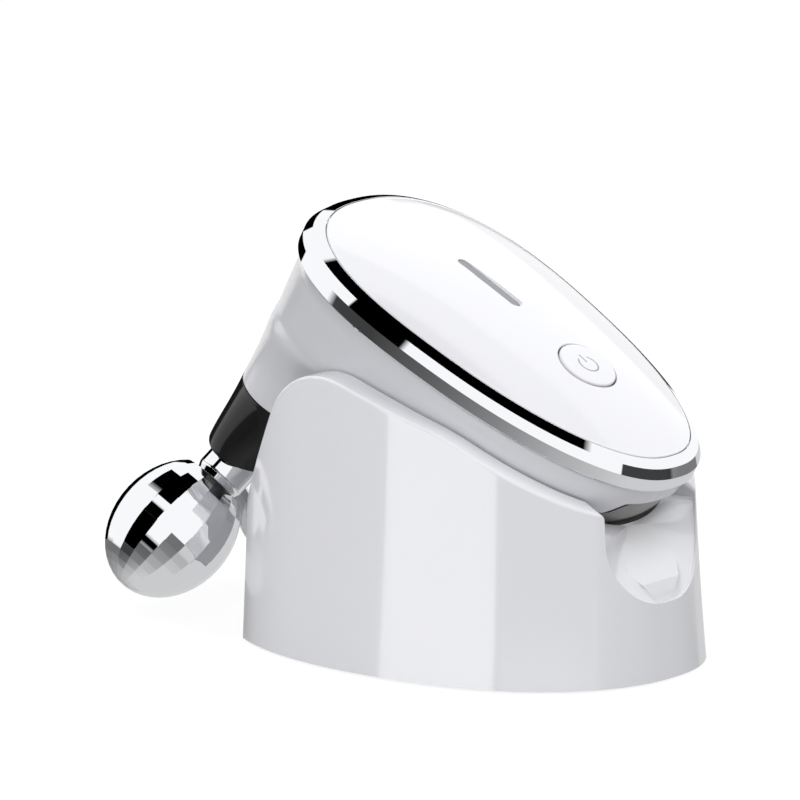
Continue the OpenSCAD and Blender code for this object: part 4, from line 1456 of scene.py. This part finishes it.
    def build_collar(self) -> None:
        """Black collar with rounded ends and a pocket for the yoke."""
        end = FORM.neck_drop + self.collar_h
        edge = self.collar_edge
        turn = np.linspace(0, math.pi / 2, 6)
        share = np.linspace(0, 1, 40)
        z = -FORM.neck_drop - edge - (self.collar_h - 2 * edge) * share
        top_z = -FORM.neck_drop - edge + edge * np.cos(turn)
        low_z = -end + edge - edge * np.sin(turn)
        rings = self.collar_rings(
            np.concatenate([np.zeros(6), share[1:-1], np.ones(6)]),
            np.concatenate([edge * (np.sin(turn) - 1), np.zeros(38), edge * (np.cos(turn) - 1)]),
            np.concatenate([top_z, z[1:-1], low_z]))
        collar = loft("collar", rings[::-1])
        pocket = loft("pocket", self.collar_rings(np.ones(2), np.full(2, -self.pocket_wall),
                                                  np.array([-end - 1, -end + self.plug_h])))
        combine(collar, Cut.AWAY, pocket)
        Piece("collar", "handset", Looks.COLLAR, "collar_black", ("neck_collar",)).dress(collar)

    def along_arm(self, obj: bpy.types.Object, side: int) -> bpy.types.Object:
        """Moves a mesh from the z axis, pointing up, to an arm's axis, pointing at the ball.

        Args:
            obj: Mesh object.
            side: -1 for the near arm and 1 for the far one.

        Returns:
            The same object.
        """
        cos, sin = math.cos(self.stem_angle), side * math.sin(self.stem_angle)
        apex = -(FORM.neck_drop + self.apex_deep)
        back = -(FORM.neck_x + self.yoke_back)
        return moved(obj, lambda p: HEAD.out(back + p[:, 0], p[:, 1] * cos + p[:, 2] * sin,
                                             apex + p[:, 1] * sin - p[:, 2] * cos))

    def build_yoke(self) -> None:
        """Plug in the collar's foot and two bright stems."""
        end = FORM.neck_drop + self.collar_h
        stem_end = self.reach - self.ball_back - self.spacer_t
        radius, edge = self.stem_d / 2, 0.25
        turn = np.linspace(0, math.pi / 2, 6)
        tip = np.stack([radius - edge + edge * np.cos(turn), stem_end - edge + edge * np.sin(turn)], 1)
        side = np.stack([np.full(12, radius), np.linspace(0.3, stem_end - edge - 0.05, 12)], 1)
        profile = np.concatenate([[[0, 0], [radius, 0]], side, tip, [[0, stem_end]]])
        arms = [self.along_arm(turned("arm", profile, 128), side) for side in (-1, 1)]
        arm = combine(arms[0], Cut.JOIN, arms[1])
        plug_top = self.plug_h - 0.02
        box = np.array([[-80, -60], [80, -60], [80, 60], [-80, 60]])
        block = prism("below", box, -end - 80, -end + plug_top,
                      lambda a, b, c: HEAD.out(a - FORM.neck_x, b, c))
        combine(arm, Cut.KEEP, block)
        inset = -self.pocket_wall - np.array([0.3, 0.12, *[0.02] * 6])
        height = np.array([0.3, 0.34, 0.5, 0.8, 1.4, 2.0, 2.8, plug_top]) - end
        plug = loft("plug", self.collar_rings(np.ones(8), inset, height))
        combine(arm, Cut.JOIN, plug)
        Piece("yoke_stems", "handset", Looks.CHROME, "stem_chrome", ("yoke",)).dress(arm, 35)


def moved(obj: bpy.types.Object, place: Any) -> bpy.types.Object:
    """Passes a mesh's points, in millimetres, through a function.

    Args:
        obj: Mesh object.
        place: Function from (n, 3) to (n, 3) points.

    Returns:
        The same object.
    """
    mesh = obj.data
    flat = np.empty(len(mesh.vertices) * 3, np.float32)
    mesh.vertices.foreach_get("co", flat)
    points = np.asarray(place(flat.reshape(-1, 3).astype(float) / MM)) * MM
    mesh.vertices.foreach_set("co", points.astype(np.float32).ravel())
    mesh.update()
    tidy_mesh(obj)
    return obj


@dataclass
class Ball:
    """One roller ball: an egg of flat facets with a fine round on every edge."""

    side: int
    diameter: float = 25.2
    length: float = 31.0
    back: float = 12.7
    around: int = 20
    step: float = 8.0
    last_row: float = 84.0
    bore_d: float = 8.04
    bush_tip: float = 6.0
    flange_w: float = 1.2
    flange_t: float = 0.82
    clip_room: float = 3.2
    round_mm: float = 0.09

    def build(self, handset: Handset) -> None:
        """Builds the ball on its axle.

        A corner at latitude t and longitude u of the egg is (r cos t cos u, r cos t sin u,
        a sin t), with its rows evenly spaced in latitude.

        Args:
            handset: The handset, which knows where the axles are.
        """
        half_l, radius = self.length / 2, self.diameter / 2
        low = -math.degrees(math.asin(self.back / half_l))
        count = math.ceil((self.last_row - low) / self.step)
        lat = np.radians(np.linspace(low, self.last_row, count + 1))[:, None]
        lon = 2 * math.pi * (np.arange(self.around) + 0.5) / self.around
        flat = np.zeros_like(lon)
        rings = np.stack([radius * np.cos(lat) * np.cos(lon), radius * np.cos(lat) * np.sin(lon),
                          half_l * np.sin(lat) + flat], -1)
        ball = loft("ball", rings)
        soft = ball.modifiers.new("edges", "BEVEL")
        soft.width = self.round_mm * MM
        soft.segments = 2
        soft.limit_method = "ANGLE"
        soft.angle_limit = math.radians(3)
        graph = bpy.context.evaluated_depsgraph_get()
        made = bpy.data.meshes.new_from_object(ball.evaluated_get(graph))
        ball.modifiers.clear()
        ball.data = made
        bore_r = self.bore_d / 2
        mouth_r, step_z = bore_r + self.flange_w, self.flange_t - self.back
        start, end = -self.back - 1, self.bush_tip + self.clip_room
        bore = turned("bore", np.array([[0, start], [mouth_r, start], [mouth_r, step_z], [bore_r, step_z],
                                        [bore_r, end], [0, end]]), 64)
        combine(ball, Cut.AWAY, bore)
        moved(ball, lambda p: p * np.array([1.0, -1.0, 1.0]) + np.array([0, 0, handset.reach]))
        handset.along_arm(ball, self.side)
        where = "near" if self.side < 0 else "far"
        piece = Piece(f"roller_{where}", f"{where}_ball", Looks.CHROME, "ball_chrome", (f"ball_{where}",))
        piece.dress(ball, 4)


# ---------------------------------------------------------------- carried-over pieces


@dataclass(frozen=True)
class CarriedOver:
    """CAD pieces whose shape is right: a merged copy with smooth rounds and a finish."""

    looks: tuple[tuple[str, Finish, str], ...] = (
        ("base_plate", Looks.PLATE, "plate_grey"), ("foot_pad", Looks.PAD, "pad_grey"),
        ("base_screws", Looks.STEEL, "steel"), ("charge_board", Looks.BOARD, "circuit_green"),
        ("pin_block", Looks.BLACK, "moulded_black"), ("pin_near", Looks.GOLD, "contact_gold"),
        ("pin_far", Looks.GOLD, "contact_gold"), ("inlet_socket", Looks.STEEL, "steel"),
        ("light_window", Looks.WINDOW, "light_grey"), ("main_board", Looks.BOARD, "circuit_green"),
        ("board_screws", Looks.STEEL, "steel"), ("tact_switch", Looks.BLACK, "moulded_black"),
        ("battery", Looks.FOIL, "cell_foil"), ("charge_contacts", Looks.GOLD, "contact_gold"),
        ("axle_near", Looks.STEEL, "steel"), ("axle_far", Looks.STEEL, "steel"),
        ("axle_clips", Looks.STEEL, "steel"), ("spacer_near", Looks.CHROME, "stem_chrome"),
        ("spacer_far", Looks.CHROME, "stem_chrome"), ("bush_near", Looks.NYLON, "bush_nylon"),
        ("bush_far", Looks.NYLON, "bush_nylon"))

    def dress(self) -> None:
        """Makes and dresses the copies."""
        table = frame["record"]["behaviour"]["bodies"]
        bodies = {node: body for body, nodes in table.items() for node in nodes}
        for node, look, slot in self.looks:
            copy = bpy.data.objects.new(f"{node}_dressed", frame["nodes"][node].data.copy())
            bpy.context.scene.collection.objects.link(copy)
            Piece(f"{node}_dressed", bodies[node], look, slot, (node,)).dress(copy, 25)


# ---------------------------------------------------------------- studio


@dataclass(frozen=True)
class Card:
    """Dark card of the reflected studio, as its ranges of turn and rise in degrees."""

    turn: tuple[float, float]
    rise: tuple[float, float]

    def mask(self, turn: Value, rise: Value, soft: float) -> Value:
        """Where the card is seen.

        Args:
            turn: Direction's turn.
            rise: Direction's rise.
            soft: Width of the card's edges.

        Returns:
            The mask.
        """
        return turn.between(*self.turn, soft) * rise.between(*self.rise, soft)


@dataclass(frozen=True)
class Studio:
    """Floor, lights, surroundings and camera.

    Directions are in degrees: turn is 0 from -y and 90 from +x, rise is the height over the
    horizon.
    """

    azimuth: float = math.radians(37.446)
    elevation: float = math.radians(11.826)
    distance: float = 2.44866
    lens: float = 540.0
    target: tuple[float, float, float] = (-0.01738, 0.0, 0.04876)
    ambient: float = 0.47
    tent: float = 1.09
    table: float = 0.63
    floor_size: float = 1600.0
    floor_grey: tuple[float, float, float] = (0.48, 0.48, 0.49)
    floor_glow: float = 1.42
    floor_share: float = 0.62
    soft: float = 1.2
    front_cards: tuple[Card, ...] = (Card((-38, 13), (-4, 36)), Card((-22, 2), (35, 54)),
                                     Card((-38, -21), (35, 46)))
    back_card: Card = Card((-153, -99), (-10, 25))
    lamps: tuple[tuple[str, float, float, float], ...] = (("key", 22, 38, 5.3), ("nose", 108, 55, 6.3),
                                                          ("left", -75, 35, 3.1))
    lamp_away: float = 1.2
    lamp_size: float = 0.7

    def place_camera(self) -> None:
        """Camera at the photograph's angle, with a long lens."""
        data = bpy.data.cameras.new("camera")
        data.lens, data.sensor_width = self.lens, 36.0
        data.clip_start, data.clip_end = 0.05, 50.0
        camera = bpy.data.objects.new("camera", data)
        a, e = self.azimuth, self.elevation
        back = Vector((math.sin(a) * math.cos(e), -math.cos(a) * math.cos(e), math.sin(e)))
        camera.location = Vector(self.target) + back * self.distance
        camera.rotation_mode = "QUATERNION"
        camera.rotation_quaternion = (-back).to_track_quat("-Z", "Y")
        bpy.context.scene.collection.objects.link(camera)
        bpy.context.scene.camera = camera

    def lay_floor(self) -> None:
        """Pale floor that keeps the object's shadow and looks white to the camera.

        Mirror rays pass through it to the lower half of the surroundings, which has the
        table's greys.
        """
        size = self.floor_size
        grid = np.array([[-size, -size, 0], [size, -size, 0], [size, size, 0], [-size, size, 0]])
        floor = mesh_from("floor", grid, np.array([[0, 1, 2, 3]]))
        made = bpy.data.materials.new("floor_white")
        made.use_nodes = True
        paint = Paint(made.node_tree)
        plain = paint.node("ShaderNodeBsdfDiffuse", {}, {"Color": (*self.floor_grey, 1)})
        glow = paint.node("ShaderNodeEmission", {}, {"Color": (1, 1, 1, 1), "Strength": self.floor_glow})
        seen = paint.node("ShaderNodeLightPath", out="Is Camera Ray")
        mirrored = paint.node("ShaderNodeLightPath", out="Is Glossy Ray")
        mixed = paint.node("ShaderNodeMixShader", {}, {0: seen * self.floor_share, 1: plain, 2: glow})
        clear = paint.node("ShaderNodeBsdfTransparent")
        final = paint.node("ShaderNodeMixShader", {}, {0: mirrored, 1: mixed, 2: clear})
        paint.node("ShaderNodeOutputMaterial", {}, {"Surface": final})
        floor.data.materials.append(made)

    def surround(self) -> None:
        """World: white to the camera, a plain level for light, and a studio for reflections.

        The reflected studio is a white tent with a black ceiling, a tall black card with two
        smaller ones on it at the front, another card at the back left, a low dark band on
        the right and a grey table. The table is darker towards the front and the far left,
        the more so the nearer to the horizon.
        """
        world = bpy.data.worlds.new("studio")
        bpy.context.scene.world = world
        world.use_nodes = True
        paint = Paint(world.node_tree)
        ray = paint.node("ShaderNodeTexCoord", out="Generated")
        x, y, z = paint.axes(ray)
        turn = x.do("ARCTAN2", y * -1.0) * (180 / math.pi)
        rise = z.do("ARCSINE") * (180 / math.pi)
        soft = self.soft
        roof = turn.between(-128, 101, soft)
        ceiling = rise.above(69, 2).do("MAXIMUM", rise.above(58, 2) * roof)
        dark = ceiling
        for card in self.front_cards:
            dark = dark.do("MAXIMUM", card.mask(turn, rise, soft))
        shade_front = turn.between(-61, 6, 3) * rise.above(-33, 14) * (0.12 - turn.above(-14, 30) * 0.08)
        shade_far = turn.between(-125, 72, 8) * rise.above(-34, 44) * 0.46
        table = self.table - shade_front - shade_far
        tent = 1.0 - dark
        studio = tent + rise.below(-4, 1.5) * (table - tent)
        band_depth = 0.95 - turn.above(137, 4) * 0.27
        low_band = turn.above(76, soft) * rise.between(-10, 11, soft) * band_depth
        low_dark = low_band.do("MAXIMUM", self.back_card.mask(turn, rise, soft))
        studio = studio * (1.0 - low_dark) * self.tent
        light = paint.node("ShaderNodeLightPath")
        outs = {s.name: Value(paint, s) for s in light.socket.node.outputs}
        mirror, camera = outs["Is Glossy Ray"], outs["Is Camera Ray"]
        level = self.ambient + mirror * (studio - self.ambient)
        level = level + camera * (1.0 - level)
        back = paint.node("ShaderNodeBackground", {}, {"Color": (1, 1, 1, 1), "Strength": level})
        paint.node("ShaderNodeOutputWorld", {}, {"Surface": back})

    def softbox(self, name: str, turn: float, rise: float, away: float, size: tuple[float, float],
                glow: float, seen_in: Sequence[bpy.types.Object]) -> None:
        """Softbox that only some pieces show; light linking keeps it off the plating.

        Args:
            name: Light's name.
            turn: Direction in degrees, 0 from -y and 90 from +x.
            rise: Height in degrees.
            away: Distance in metres.
            size: Width and height in metres.
            glow: Brightness of its face, 1 for white.
            seen_in: The objects that it lights.
        """
        self.lamp(name, turn, rise, away, size, glow * math.pi * size[0] * size[1], True)
        group = bpy.data.collections.new(f"{name}_sees")
        for obj in seen_in:
            group.objects.link(obj)
        bpy.data.objects[name].light_linking.receiver_collection = group

    def lamp(self, name: str, turn: float, rise: float, away: float, size: tuple[float, float],
             watts: float, mirrored: bool = False) -> None:
        """Soft light aimed at the object.

        Args:
            name: Light's name.
            turn: Direction in degrees, 0 from -y and 90 from +x.
            rise: Height in degrees.
            away: Distance in metres.
            size: Width and height in metres.
            watts: Power.
            mirrored: Whether bright surfaces show it.
        """
        data = bpy.data.lights.new(name, "AREA")
        data.shape, data.size, data.size_y, data.energy = "RECTANGLE", *size, watts
        lamp = bpy.data.objects.new(name, data)
        a, e = math.radians(turn), math.radians(rise)
        out = Vector((math.sin(a) * math.cos(e), -math.cos(a) * math.cos(e), math.sin(e)))
        lamp.location = Vector((0, 0, 0.04)) + out * away
        lamp.rotation_mode = "QUATERNION"
        lamp.rotation_quaternion = out.to_track_quat("Z", "Y")
        lamp.visible_glossy = mirrored
        lamp.visible_camera = False
        bpy.context.scene.collection.objects.link(lamp)

    def build(self) -> None:
        """Sets the whole studio up."""
        bpy.context.scene.view_settings.view_transform = "Standard"
        self.place_camera()
        self.lay_floor()
        self.surround()
        for name, turn, rise, watts in self.lamps:
            self.lamp(name, turn, rise, self.lamp_away, (self.lamp_size, self.lamp_size), watts)

    def light_mouldings(self) -> None:
        """Softboxes for the white mouldings, once these are built."""
        names = ("cover", "button", "dock_body", "body")
        cover, button, dock, body = (bpy.data.objects[name] for name in names)
        self.softbox("front_box", -10.5, -3, 0.55, (0.46, 0.2), 2.65, [dock])
        self.softbox("back_box", 180, 38, 1.2, (1.2, 0.85), 0.5, [cover, button])
        self.softbox("side_box", -135, 7, 0.8, (0.8, 0.55), 1.0, [dock, body])


def main() -> None:
    """Builds every piece in order."""
    logging.basicConfig(level=logging.INFO, format="%(name)s %(message)s")
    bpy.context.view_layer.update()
    studio = Studio()
    studio.build()
    Dock().build()
    handset = Handset()
    handset.build_cover()
    handset.build_lens()
    handset.build_button()
    handset.build_ring()
    handset.build_body()
    handset.build_collar()
    handset.build_yoke()
    Ball(-1).build(handset)
    Ball(1).build(handset)
    CarriedOver().dress()
    studio.light_mouldings()


if __name__ == "__main__":
    main()
